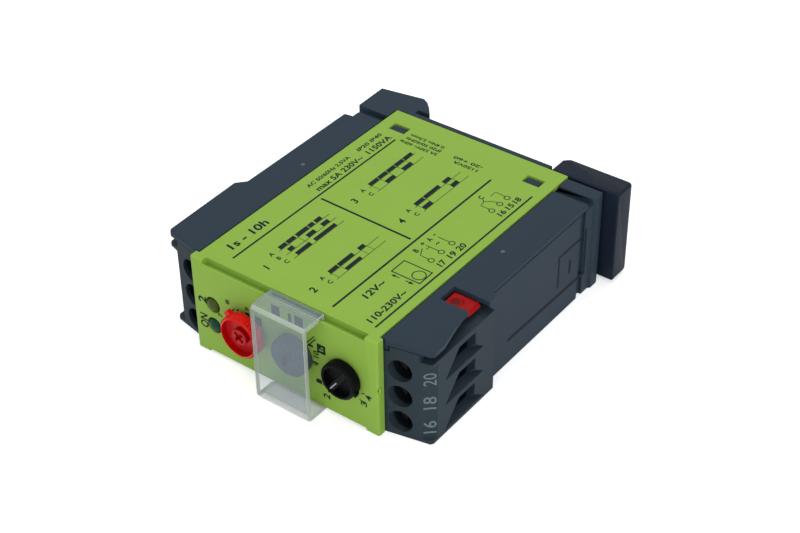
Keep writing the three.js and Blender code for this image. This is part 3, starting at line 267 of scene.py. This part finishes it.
def painted_shade_inside(place, color):
    """Paints shade behind the outer faces of the block, where its cells and shafts are."""
    x, y, z = place.axes()
    across, depth = place.math("ABSOLUTE", x + right_of_middle), y + behind_front
    end_face, front_skin, lower_skin, upper_skin = 29.9 * mm, 4.2 * mm, 0.4 * mm, 19.0 * mm
    sunk = (across < end_face) * (depth > front_skin) * (z > lower_skin) * (z < upper_skin)
    shade = 0.9
    return (sunk * shade).blend(color, tone(14, 20, 24))


block_plastic = plastic("block_plastic", tone(42, 54, 61), tone(50, 62, 70), 0.55,
                        shade_painter=painted_shade_inside)
for end in ("right", "left"):
    moulding(f"terminal_block_{end}", f"{end}_block_moulding", "housing",
             block_plastic, 0.12 * mm)

# Terminal numbers: pale ink printed on the sloped edge of each block, beside its screw hole, and
# read with the module upright on its rail.


class Face:
    """A flat face that takes print. Its shapes are in millimetres, right and up as the print reads.

    Layers that cross have different lifts off the face.
    """

    ink_rise = 0.004
    capital_share = 0.72

    def __init__(self, origin, right, up):
        right, up = Vector(right).normalized(), Vector(up).normalized()
        axes = Matrix((right, up, right.cross(up))).transposed()
        corner = Vector(origin) * mm - Vector((right_of_middle, behind_front, 0))
        self.place = Matrix.Translation(corner) @ (axes * mm).to_4x4()
        self.prints = []

    def settle(self, ink, lift, shift=(0, 0), stretch=(1, 1)):
        """Turns a new text or curve into a mesh and lays it on the face."""
        bpy.ops.object.convert(target="MESH")
        layer = bpy.context.active_object
        ink_place = Matrix.Translation((*shift, lift)) @ Matrix.Diagonal((*stretch, 1, 1))
        layer.data.transform(self.place @ ink_place)
        layer.matrix_world = Matrix.Identity(4)
        layer.data.materials.clear()
        layer.data.materials.append(ink)
        self.prints.append(layer)

    def words(self, ink, text, left, base, height, width=0.0, lean=0.1, lift=0.014, align="LEFT",
              weight=0.035):
        """A word whose capitals have this height, stretched to this width when one is given."""
        bpy.ops.object.select_all(action="DESELECT")
        bpy.ops.object.text_add()
        letters = bpy.context.active_object
        letters.data.body = text
        letters.data.size = height / self.capital_share
        letters.data.shear = lean
        letters.data.align_x = align
        letters.data.resolution_u = 3
        letters.data.offset = weight * height
        letters.data.extrude = self.ink_rise
        bpy.context.view_layer.update()
        stretch = width / letters.dimensions.x if width else 1
        self.settle(ink, lift, (left, base), (stretch, 1))

    def shapes(self, ink, outlines, lift=0.01):
        """Closed outlines, filled. One that lies inside another cuts a hole in it."""
        bpy.ops.object.select_all(action="DESELECT")
        lines = bpy.data.curves.new("lines", "CURVE")
        lines.dimensions = "2D"
        lines.fill_mode = "BOTH"
        lines.extrude = self.ink_rise
        for outline in outlines:
            spline = lines.splines.new("POLY")
            spline.points.add(len(outline) - 1)
            spline.use_cyclic_u = True
            for point, (across, up) in zip(spline.points, outline):
                point.co = (across, up, 0, 1)
        drawn = bpy.data.objects.new("lines", lines)
        bpy.context.collection.objects.link(drawn)
        drawn.select_set(True)
        bpy.context.view_layer.objects.active = drawn
        self.settle(ink, lift)

    def finish(self, name, body, slot):
        bpy.ops.object.select_all(action="DESELECT")
        for layer in self.prints:
            layer.select_set(True)
        bpy.context.view_layer.objects.active = self.prints[0]
        if len(self.prints) > 1:
            bpy.ops.object.join()
        printed = bpy.context.active_object
        printed.name = name
        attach(printed, body)


def ink_and_painted_shade(name, color, thin):
    """Pad-printed ink, a little thin in places. The same layer also serves as painted shade."""
    made, wire = material_of(name)
    place = wire.node("ShaderNodeTexCoord", {}, "Object")
    cover = wire.node("ShaderNodeTexNoise", {"Vector": place, "Scale": 2600.0, "Detail": 3.0})
    close_with(wire, wire.node("ShaderNodeBsdfPrincipled", {
        "Base Color": cover.blend(color, thin), "Roughness": 0.5 + 0.2 * cover,
        "Specular IOR Level": 0.05}))
    return made


pale_ink = ink_and_painted_shade("pale_ink", tone(118, 131, 134), tone(100, 113, 117))
number_places, number_height, number_width = (3.23, 9.13, 15.09), 2.5, 3.0
slope_run = Vector((2.3, 2.15)).normalized()
slope_middle = Vector((29.5, 3.65)) + slope_run * 1.66
for side, name, numbers in ((1, "right", ("16", "18", "20")), (-1, "left", ("15", "17", "19"))):
    slope = Face((side * slope_middle.x, slope_middle.y, 0), (0, 0, 1),
                 (-slope_run.x, -side * slope_run.y, 0))
    for text, place_along in zip(numbers, number_places):
        slope.words(pale_ink, text, place_along, -number_height / 2, number_height, number_width,
                    lean=0, align="CENTER", weight=0.008)
    slope.finish(f"terminal_numbers_{name}", "housing", "grey_plastic")

# Right wall: an L-shaped rule and a small frame with a plain number are moulded a little below the
# skin of the tub. The shade in their grooves is painted on the wall as darker lines.


def bar(left, low, right, high):
    return [(left, low), (right, low), (right, high), (left, high)]


def stroke(points, width):
    """The outline of a line of this width through the points."""
    path = [Vector(point) for point in points]
    sides = []
    for index, point in enumerate(path):
        ahead = (path[min(index + 1, len(path) - 1)] - path[max(index - 1, 0)]).normalized()
        sides.append(Vector((-ahead.y, ahead.x)) * width / 2)
    return ([tuple(point + side) for point, side in zip(path, sides)]
            + [tuple(point - side) for point, side in reversed(list(zip(path, sides)))])


# Painted shade for the grooves: a dark layer laid on the wall.
sunk_shade = ink_and_painted_shade("sunk_shade", tone(20, 28, 35), tone(27, 36, 44))
wall = Face((30.0, 0, 0), (0, 1, 0), (0, 0, 1))
for outline, lift in (
        (stroke([(31.3, 6.0), (59.6, 5.3)], 0.8), 0.02), (bar(58.75, 5.65, 59.45, 16.4), 0.024),
        (bar(48.9, 7.6, 49.5, 15.4), 0.02), (bar(49.5, 14.8, 57.5, 15.4), 0.02)):
    wall.shapes(sunk_shade, [outline], lift)
wall.words(sunk_shade, "1", 53.4, 9.0, 3.0, lean=0, lift=0.02, align="CENTER", weight=0.06)
wall.finish("wall_groove_shade", "housing", "housing_plastic")

# Lid trim: the pins that push the lid out of its mould leave a small flat disc on each of its
# shoulders, in the same plastic but paler.
bpy.ops.object.select_all(action="DESELECT")
mark_radius, mark_thickness, mark_height = 0.45 * mm, 0.08 * mm, 22.42 * mm
for mark_x, mark_y in ((-24.76, 36.9), (25.15, 36.18)):
    bpy.ops.mesh.primitive_cylinder_add(
        vertices=20, radius=mark_radius, depth=mark_thickness,
        location=(mark_x * mm - right_of_middle, mark_y * mm - behind_front, mark_height))
    mark = bpy.context.active_object
    mark.name = f"ejector_mark_{'left' if mark_x < 0 else 'right'}"
    bpy.ops.object.mode_set(mode="EDIT")
    bpy.ops.mesh.select_all(action="SELECT")
    bpy.ops.mesh.bevel(offset=0.03 * mm, segments=2, affect="EDGES")
    bpy.ops.object.mode_set(mode="OBJECT")
    bpy.ops.object.transform_apply(location=True, rotation=True, scale=True)
    bpy.ops.object.shade_smooth_by_angle(angle=math.radians(30))
    mark.data.materials.append(plastic(mark.name, tone(78, 91, 101), tone(96, 108, 117), 0.4))
    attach(mark, "housing")

# Green cover: the front panel and the long plate over the wide side, moulded in one as an L of lime
# ABS. Its satin surface carries the print.
lime_plastic = plastic("lime_plastic", tone(140, 179, 70), tone(151, 190, 80), 0.42, tooth=4000,
                       relief=0.05)
moulding("front_cover", "green_moulding", "housing", lime_plastic, 0.12 * mm)

# Snap bump: a small rounded nib on the right edge of the front, half of a squashed ball, moulded in
# one with the green cover.
bpy.ops.object.select_all(action="DESELECT")
nib_place, nib_radius = (21.75 * mm, -33.1 * mm, 11.2 * mm), 0.5 * mm
bpy.ops.mesh.primitive_uv_sphere_add(segments=24, ring_count=12, radius=nib_radius,
                                     location=nib_place)
nib = bpy.context.active_object
nib.name = "snap_bump"
nib.scale = (0.7, 0.9, 1.2)
bpy.ops.object.transform_apply(location=True, rotation=True, scale=True)
bpy.ops.object.mode_set(mode="EDIT")
bpy.ops.mesh.select_all(action="SELECT")
bpy.ops.mesh.bisect(plane_co=nib_place, plane_no=(1, 0, 0), clear_inner=True, use_fill=True)
bpy.ops.object.mode_set(mode="OBJECT")
bpy.ops.object.shade_smooth_by_angle(angle=math.radians(40))
nib.data.materials.append(lime_plastic)
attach(nib, "housing")

# Plate print: rules, time diagrams, ratings and the wiring of supply and contacts, pad-printed in
# dark ink on the wide side of the green cover. It reads with the module upright on its rail.


def ring(across, up, radius, width, corners=20):
    turns = [math.tau * step / corners for step in range(corners)]
    return [[(across + size * math.cos(turn), up + size * math.sin(turn)) for turn in turns]
            for size in (radius + width / 2, radius - width / 2)]


dark_ink = ink_and_painted_shade("dark_ink", tone(24, 34, 38), tone(34, 46, 46))
plate = Face((0, 0, 22.5), (0, 1, 0), (-1, 0, 0))
plate.shapes(dark_ink, [
    stroke([(4.2, 15.1), (55.4, 14.95)], 0.42), stroke([(3.8, -9.5), (54.8, -9.7)], 0.45),
    stroke([(3.7, -19.4), (54.7, -19.7)], 0.4), stroke([(29.5, 14.0), (29.0, -8.6)], 0.5)])
diagrams = (
    ("1", (5.7, 8.1), (("A", 8.9, 9.4), ("B", 8.9, 7.5), ("C", 8.9, 5.6))),
    ("2", (5.6, -3.4), (("A", 8.8, -3.1), ("C", 8.8, -5.0))),
    ("3", (32.7, 8.1), (("A", 36.0, 8.4), ("C", 36.0, 6.3))),
    ("4", (32.7, -3.6), (("A", 35.8, -3.1), ("C", 35.8, -5.2))))
label_height, letter_height = 1.7, 1.05
for label, (label_along, label_up), rows in diagrams:
    plate.words(dark_ink, label, label_along, label_up - label_height / 2, label_height,
                align="CENTER")
    for letter, letter_along, letter_up in rows:
        plate.words(dark_ink, letter, letter_along, letter_up + 0.05, letter_height)
time_rows = (
    (9.35, 1.15, 11.0, 26.3,
     ((11.7, 13.8), (14.0, 16.4), (16.8, 20.3), (20.5, 22.1), (22.5, 24.4))),
    (7.5, 1.2, 11.0, 26.3, ((12.3, 13.7), (17.9, 20.3), (22.4, 24.5))),
    (5.6, 1.1, 11.0, 26.2, ((12.3, 16.6), (17.8, 24.3))),
    (-3.1, 1.1, 11.0, 26.0, ((11.4, 14.0), (14.2, 18.7), (20.4, 22.2))),
    (-5.0, 1.0, 10.7, 25.8, ((14.1, 18.7),)),
    (8.5, 1.1, 38.2, 53.7,
     ((38.8, 41.7), (41.85, 44.6), (44.75, 47.3), (47.45, 50.2), (50.35, 53.2))),
    (6.3, 1.2, 38.1, 53.6, ((41.6, 44.5), (47.2, 50.3))),
    (-3.1, 1.1, 38.0, 53.5, ((38.6, 41.5), (41.7, 46.8), (48.2, 50.5))),
    (-5.2, 1.2, 38.0, 53.3, ((38.6, 41.4), (48.2, 50.4))))
bar_lean, bar_foot, line_half, tick_half = 0.18, 0.1, 0.06, 0.05
plate.shapes(dark_ink, [
    [(start, base + bar_foot), (end, base + bar_foot), (end + bar_lean, base + height),
     (start + bar_lean, base + height)]
    for base, height, _first, _last, bars in time_rows for start, end in bars], 0.014)
plate.shapes(dark_ink, [bar(first, base - line_half, last, base + line_half)
                        for base, _height, first, last, _bars in time_rows], 0.012)
ticks = (
    (13.9, 7.5, 9.3), (16.6, 5.6, 9.3), (11.5, -5.0, -3.1), (14.2, -5.0, -3.1), (20.5, -5.0, -3.1),
    (22.3, -5.0, -3.1), (38.9, 6.3, 8.5), (41.8, 7.5, 8.5), (44.6, 7.5, 8.5), (47.4, 7.5, 8.5),
    (50.2, 7.5, 8.5), (38.8, -4.0, -3.1), (41.6, -4.0, -3.1), (48.4, -4.0, -3.1),
    (50.5, -4.0, -3.1))
plate.shapes(dark_ink, [bar(along - tick_half, low, along + tick_half, high)
                        for along, low, high in ticks], 0.010)
for text, left, base, height, width in (
        ("1s - 10h", 5.6, 16.9, 2.0, 11.0), ("AC 50/60Hz 2.5VA", 31.0, 18.3, 1.0, 13.6),
        ("IP20 IP40", 47.3, 18.3, 1.0, 8.0), ("max 5A 230V~", 31.2, 15.9, 1.45, 14.8),
        ("1150VA", 47.4, 15.9, 1.45, 7.8), ("12V~", 8.9, -13.2, 1.6, 6.0),
        ("110-230V~", 3.8, -18.2, 1.5, 11.1), ("B", 26.0, -12.2, 1.2, 0.9),
        ("+", 28.6, -11.9, 1.2, 0.9), ("A", 30.5, -12.2, 1.2, 1.0), ("-", 32.5, -11.9, 1.4, 0.6),
        ("~", 30.4, -14.1, 1.4, 1.1), ("17", 24.9, -18.6, 1.45, 2.0),
        ("19", 28.1, -18.6, 1.45, 2.1), ("20", 31.4, -18.6, 1.45, 2.4),
        ("C", 47.9, -12.2, 1.2, 1.0), ("16", 45.0, -18.6, 1.35, 2.0),
        ("15", 47.8, -18.6, 1.35, 2.0), ("18", 50.4, -18.6, 1.35, 2.0)):
    plate.words(dark_ink, text, left, base, height, width)
contacts = (
    (25.8, -15.8), (29.1, -15.8), (32.6, -15.8), (46.0, -15.9), (48.8, -15.9), (51.4, -15.9))
plate.shapes(dark_ink, [
    *[circle for along, up in contacts for circle in ring(along, up, 0.6, 0.2)],
    *ring(20.7, -16.7, 1.35, 0.22), bar(18.6, -18.4, 22.9, -11.6),
    bar(18.85, -18.15, 22.65, -11.85)], 0.012)
leads = (
    [(25.8, -15.1), (25.9, -13.2), (27.9, -12.2)], [(29.1, -15.1), (29.1, -12.2)],
    [(28.1, -13.0), (29.0, -13.0)], [(32.6, -15.1), (32.7, -12.4)],
    [(46.1, -15.2), (46.1, -13.2), (47.6, -12.9), (48.2, -12.2)],
    [(49.0, -15.2), (48.5, -14.0), (47.7, -13.0)], [(51.6, -15.2), (51.7, -12.9), (50.0, -12.9)])
plate.shapes(dark_ink, [
    [(17.9, -12.3), (17.5, -13.2), (18.3, -13.2)], [(17.9, -17.6), (18.3, -16.5), (17.5, -16.5)],
    stroke([(17.9, -13.2), (17.9, -14.2)], 0.22), stroke([(17.9, -15.6), (17.9, -16.5)], 0.22),
    *[stroke(lead, 0.18) for lead in leads]], 0.008)
plate.finish("plate_print", "housing", "black_plastic")
side_rating = Face((0, 0, 22.5), (-1, 0, 0), (0, -1, 0))
for text, left, base, height, width in (
        ("5A 230V~ 60Hz", 4.5, -56.2, 0.9, 9.5), ("1150VA", -6.0, -56.2, 0.9, 6.0),
        ("IP20 50/60Hz", 4.5, -57.7, 0.9, 9.0), ("-20 +60", -6.0, -57.7, 0.9, 7.2),
        ("0.4Nm 2.5mm", 4.8, -59.2, 0.9, 8.6)):
    side_rating.words(dark_ink, text, left, base, height, width, lean=0)
side_rating.finish("plate_side_print", "housing", "black_plastic")

# Front print: lamp marks, the dials round the three knobs and their leaders, pad-printed on the
# front panel in the same ink. It reads with the module upright on its rail.
front = Face((0, 0, 0), (0, 0, 1), (-1, 0, 0))
for text, left, base, height, width in (
        ("2", 12.2, 19.2, 2.0, 1.6), ("ON", 6.0, 19.2, 2.0, 3.4), ("1", 6.9, -9.1, 0.9, 0.0),
        ("8", 14.8, 13.0, 1.0, 1.1), ("7", 10.6, 15.2, 1.0, 1.0), ("9", 15.5, 8.0, 1.0, 0.9),
        ("1", 13.8, -7.5, 1.1, 0.5), ("10", 12.0, -8.8, 1.3, 1.6), ("1", 10.1, -8.6, 1.2, 0.5),
        ("1", 5.2, -9.3, 1.4, 0.9), ("2", 3.3, -11.1, 1.6, 1.2), ("4", 8.0, -21.0, 1.4, 1.3),
        ("3", 6.0, -19.9, 1.4, 1.2)):
    front.words(dark_ink, text, left, base, height, width, lean=0)
front.shapes(dark_ink, [
    stroke([(13.7, 12.4), (14.4, 11.8)], 0.3), stroke([(14.3, 11.2), (14.9, 10.6)], 0.3),
    stroke([(14.0, 10.0), (14.6, 9.4)], 0.3), bar(13.7, 8.0, 15.1, 9.0),
    bar(18.0, 0.2, 20.2, 2.2), bar(13.35, 4.9, 15.25, 6.7), bar(17.85, -5.4, 20.15, -3.4),
    bar(17.9, -2.6, 19.9, -1.8),
    stroke([(14.7, -5.9), (17.3, -8.0)], 0.24), stroke([(14.2, -6.2), (16.8, -8.3)], 0.24),
    bar(13.9, -10.5, 16.0, -8.5), bar(14.5, -10.0, 14.8, -9.0), bar(15.1, -10.0, 15.4, -9.4),
    stroke([(14.0, -6.1), (12.0, -7.0), (10.3, -7.3), (10.5, -8.3)], 0.24),
    stroke([(6.4, -9.5), (6.9, -10.2)], 0.3), stroke([(5.1, -10.7), (5.7, -11.2)], 0.3),
    stroke([(9.0, -18.7), (9.2, -19.5)], 0.24), stroke([(7.3, -18.2), (7.0, -18.9)], 0.24)], 0.012)
front.shapes(dark_ink, [stroke([(11.4, -5.9), (11.9, -6.9)], 0.24)], 0.008)
front.finish("front_print", "housing", "black_plastic")

# Clear cover: a polycarbonate channel hooked over the front, a little milky, with pale sawn ends
# and a frosted lower flange.


def sheet_plastic(name, base, pale, cover, roughness):
    """Clear moulded plastic. How much it hides of what lies behind varies a little with its haze."""
    made, wire = material_of(name)
    place = wire.node("ShaderNodeTexCoord", {}, "Object")
    haze = wire.node("ShaderNodeTexNoise", {"Vector": place, "Scale": 260.0, "Detail": 3.0})
    ripple = wire.node("ShaderNodeTexNoise", {"Vector": place, "Scale": 220.0, "Detail": 2.0})
    bump = wire.node("ShaderNodeBump", {"Strength": 0.04, "Distance": 0.2 * mm, "Height": ripple})
    close_with(wire, wire.node("ShaderNodeBsdfPrincipled", {
        "Base Color": haze.blend(base, pale), "Roughness": roughness + 0.08 * haze, "IOR": 1.5,
        "Normal": bump, "Alpha": cover + 0.05 * (haze - 0.5)}))
    return made


pane = sheet_plastic("clear_pane", tone(160, 176, 190), tone(172, 186, 198), 0.24, 0.08)
sawn_end = sheet_plastic("sawn_end", tone(168, 180, 170), tone(190, 199, 190), 0.82, 0.4)
frosted_flange = sheet_plastic("frosted_flange", tone(214, 224, 219), tone(228, 236, 232), 0.44,
                               0.35)
clear = moulding("clear_cover", "clear_moulding", "clear_cover_body", pane,
                 0.14 * mm)
clear.data.materials.append(sawn_end)
clear.data.materials.append(frosted_flange)
flange_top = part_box("clear_cover")[0].z + 1.1 * mm
facing_an_end, square_on = 0.7, 0.97
for polygon in clear.data.polygons:
    straight = max(abs(share) for share in polygon.normal)
    if abs(polygon.normal.x) > facing_an_end or straight < square_on:
        polygon.material_index = 1
    elif polygon.center.z < flange_top:
        polygon.material_index = 2

# Knobs: moulded plastic cups on the shafts behind the front panel, red for the time, grey for the
# range under the clear cover and black for the function. The black one has a painted pointer.


def painted_cup_shade(place, color):
    """Paints shade in the time knob's cup, more on the inside of its rim than on its floor."""
    x, y, z = place.axes()
    cup_x, cup_z, cup_radius, rim, floor = -8.2 * mm, 11.25 * mm, 4.12 * mm, -3.5 * mm, -2.2 * mm
    depth = y + behind_front
    inside = ((x + (right_of_middle - cup_x)).reach(z - cup_z) < cup_radius) * (depth > rim)
    color = inside.blend(color, tone(176, 6, 8))
    return (inside * (depth > floor)).blend(color, tone(200, 30, 34))


knob_red = plastic("knob_red", tone(214, 14, 12), tone(230, 24, 18), 0.35, relief=0.05,
                   specular=0.15, shade_painter=painted_cup_shade)
grey_plastic = plastic("grey_plastic", tone(64, 72, 82), tone(75, 83, 93), 0.5)
knob_black = plastic("knob_black", tone(7, 9, 11), tone(11, 13, 16), 0.42, specular=0.05)
for setting, slot, knob_plastic, edge in (
        ("time", "red_plastic", knob_red, 0.08 * mm),
        ("range", "grey_plastic", grey_plastic, 0.08 * mm),
        ("function", "black_plastic", knob_black, 0.1 * mm)):
    moulding(f"{setting}_knob", f"{setting}_knob_moulding", f"{setting}_knob_body",
             knob_plastic, edge)
pointer = Face((14.9, -2.15, 11.25), (0, 0, 1), (-1, 0, 0))
pointer.shapes(ink_and_painted_shade("pointer_paint", tone(178, 186, 186), tone(160, 168, 168)), [
    stroke([(-0.4, 0.3), (-2.5, 1.85)], 0.24)], 0.012)
pointer.finish("function_pointer", "function_knob_body", "grey_plastic")

# Indicator lamps: the domes of two light-emitting diodes, cast in tinted resin, amber above and
# green below. They stand in holes of the front panel.


def lens(name, color, core):
    """Cast resin of a lamp, cloudy inside and glossy outside."""
    made, wire = material_of(name)
    place = wire.node("ShaderNodeTexCoord", {}, "Object")
    cloud = wire.node("ShaderNodeTexNoise", {"Vector": place, "Scale": 1400.0, "Detail": 3.0})
    close_with(wire, wire.node("ShaderNodeBsdfPrincipled", {
        "Base Color": cloud.blend(color, core), "Roughness": 0.2 + 0.1 * cloud,
        "Specular IOR Level": 0.12}))
    return made


for lamp, lamp_color, lamp_core in (
        ("lamp_upper", tone(62, 74, 24), tone(78, 90, 34)),
        ("lamp_lower", tone(12, 62, 48), tone(22, 76, 58))):
    lamp_node = frame["nodes"][lamp]
    lamp_node.data.materials.clear()
    lamp_node.data.materials.append(lens(f"{lamp}_resin", lamp_color, lamp_core))

# Catch and latch: the red catch locks the block and has a dimple for the screwdriver's tip. The
# black latch grips the rail. Both are moulded and slide in the housing.


def painted_dimple_shade(place, color):
    """Paints shade into the dimple in the catch's flat top."""
    x, y, _ = place.axes()
    dimple_x, dimple_y, dimple_radius = 25.0 * mm, -13.77 * mm, 0.88 * mm
    dimple = (x - dimple_x).reach(y - dimple_y) < dimple_radius
    shade = 0.85
    return (dimple * shade).blend(color, tone(92, 14, 14))


red_plastic = plastic("red_plastic", tone(150, 8, 10), tone(168, 14, 14), 0.42, relief=0.05,
                      specular=0.1, shade_painter=painted_dimple_shade)
latch_black = plastic("latch_black", tone(17, 27, 40), tone(23, 34, 49), 0.5, specular=0.1,
                      dust=0.1)
moulding("locking_catch", "catch_moulding", "catch_body", red_plastic, 0.1 * mm)
moulding("rail_latch", "latch_moulding", "latch_body", latch_black, 0.5 * mm,
         segments=4, joined=False)

# Metal and the parts inside: plated steel cages, brass screws and bars, boards, relay and the
# power parts, which only show through the wire mouths.


def metal(name, base, bright, roughness):
    """Plated or bare metal with a drawn grain and a few dull patches."""
    made, wire = material_of(name)
    place = wire.node("ShaderNodeTexCoord", {}, "Object")
    drawn = wire.node("ShaderNodeMapping", {"Vector": place, "Scale": (1, 0.05, 1)})
    grain = wire.node("ShaderNodeTexNoise", {"Vector": drawn, "Scale": 3000.0, "Detail": 3.0})
    patch = wire.node("ShaderNodeTexNoise", {"Vector": place, "Scale": 500.0, "Detail": 4.0})
    bump = wire.node("ShaderNodeBump", {"Strength": 0.1, "Distance": 0.02 * mm, "Height": grain})
    close_with(wire, wire.node("ShaderNodeBsdfPrincipled", {
        "Base Color": patch.blend(base, bright), "Metallic": 1.0,
        "Roughness": roughness + 0.15 * patch, "Normal": bump}))
    return made


finishes = {
    "steel": metal("zinc_plated_steel", tone(108, 110, 112), tone(148, 150, 152), 0.35),
    "brass": metal("brass", tone(150, 118, 58), tone(186, 156, 90), 0.3),
    "copper_wire": metal("copper_wire", tone(150, 76, 36), tone(196, 108, 60), 0.3),
    "board": plastic("solder_mask", tone(30, 84, 46), tone(40, 104, 58), 0.35),
    "blue_plastic": plastic("blue_plastic", tone(50, 64, 122), tone(62, 78, 140), 0.45),
    "black_plastic": plastic("black_parts", tone(26, 27, 30), tone(36, 37, 40), 0.5),
    "pale_plastic": plastic("pale_plastic", tone(206, 206, 196), tone(224, 224, 214), 0.4),
    "capacitor_red": plastic("capacitor_lacquer", tone(160, 48, 38), tone(184, 62, 50), 0.35),
    "capacitor_sleeve": plastic("capacitor_sleeve", tone(36, 40, 66), tone(46, 50, 80), 0.35),
    "ferrite": plastic("ferrite", tone(58, 58, 60), tone(76, 76, 78), 0.6),
}
# The brass screws sit deep in their holes, so their metal is painted near black for the shade there.
screw_shade_metal = metal("screw_painted_shade", tone(46, 46, 44), tone(70, 70, 66), 0.5)
dressed_already = {
    "housing_base", "side_lid", "terminal_block_right", "terminal_block_left", "front_cover",
    "clear_cover", "time_knob", "range_knob", "function_knob", "lamp_upper", "lamp_lower",
    "locking_catch", "rail_latch", "latch_spring"}
for part in frame["record"]["subparts"]:
    node = part["node"]
    if node not in dressed_already:
        is_screw = node.startswith("terminal_screw")
        finish = screw_shade_metal if is_screw else finishes[part["material_slot"]]
        inner = frame["nodes"][node]
        inner.data.materials.clear()
        inner.data.materials.append(finish)

# Latch spring: a coil of steel wire between the tub and the latch, which shortens as the latch is
# pulled out. Here it stays fixed to the housing, with a mesh of its own.
spring = moulding("latch_spring", "latch_spring_coil", "housing", finishes["steel"], 0,
                  joined=False)
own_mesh(spring)
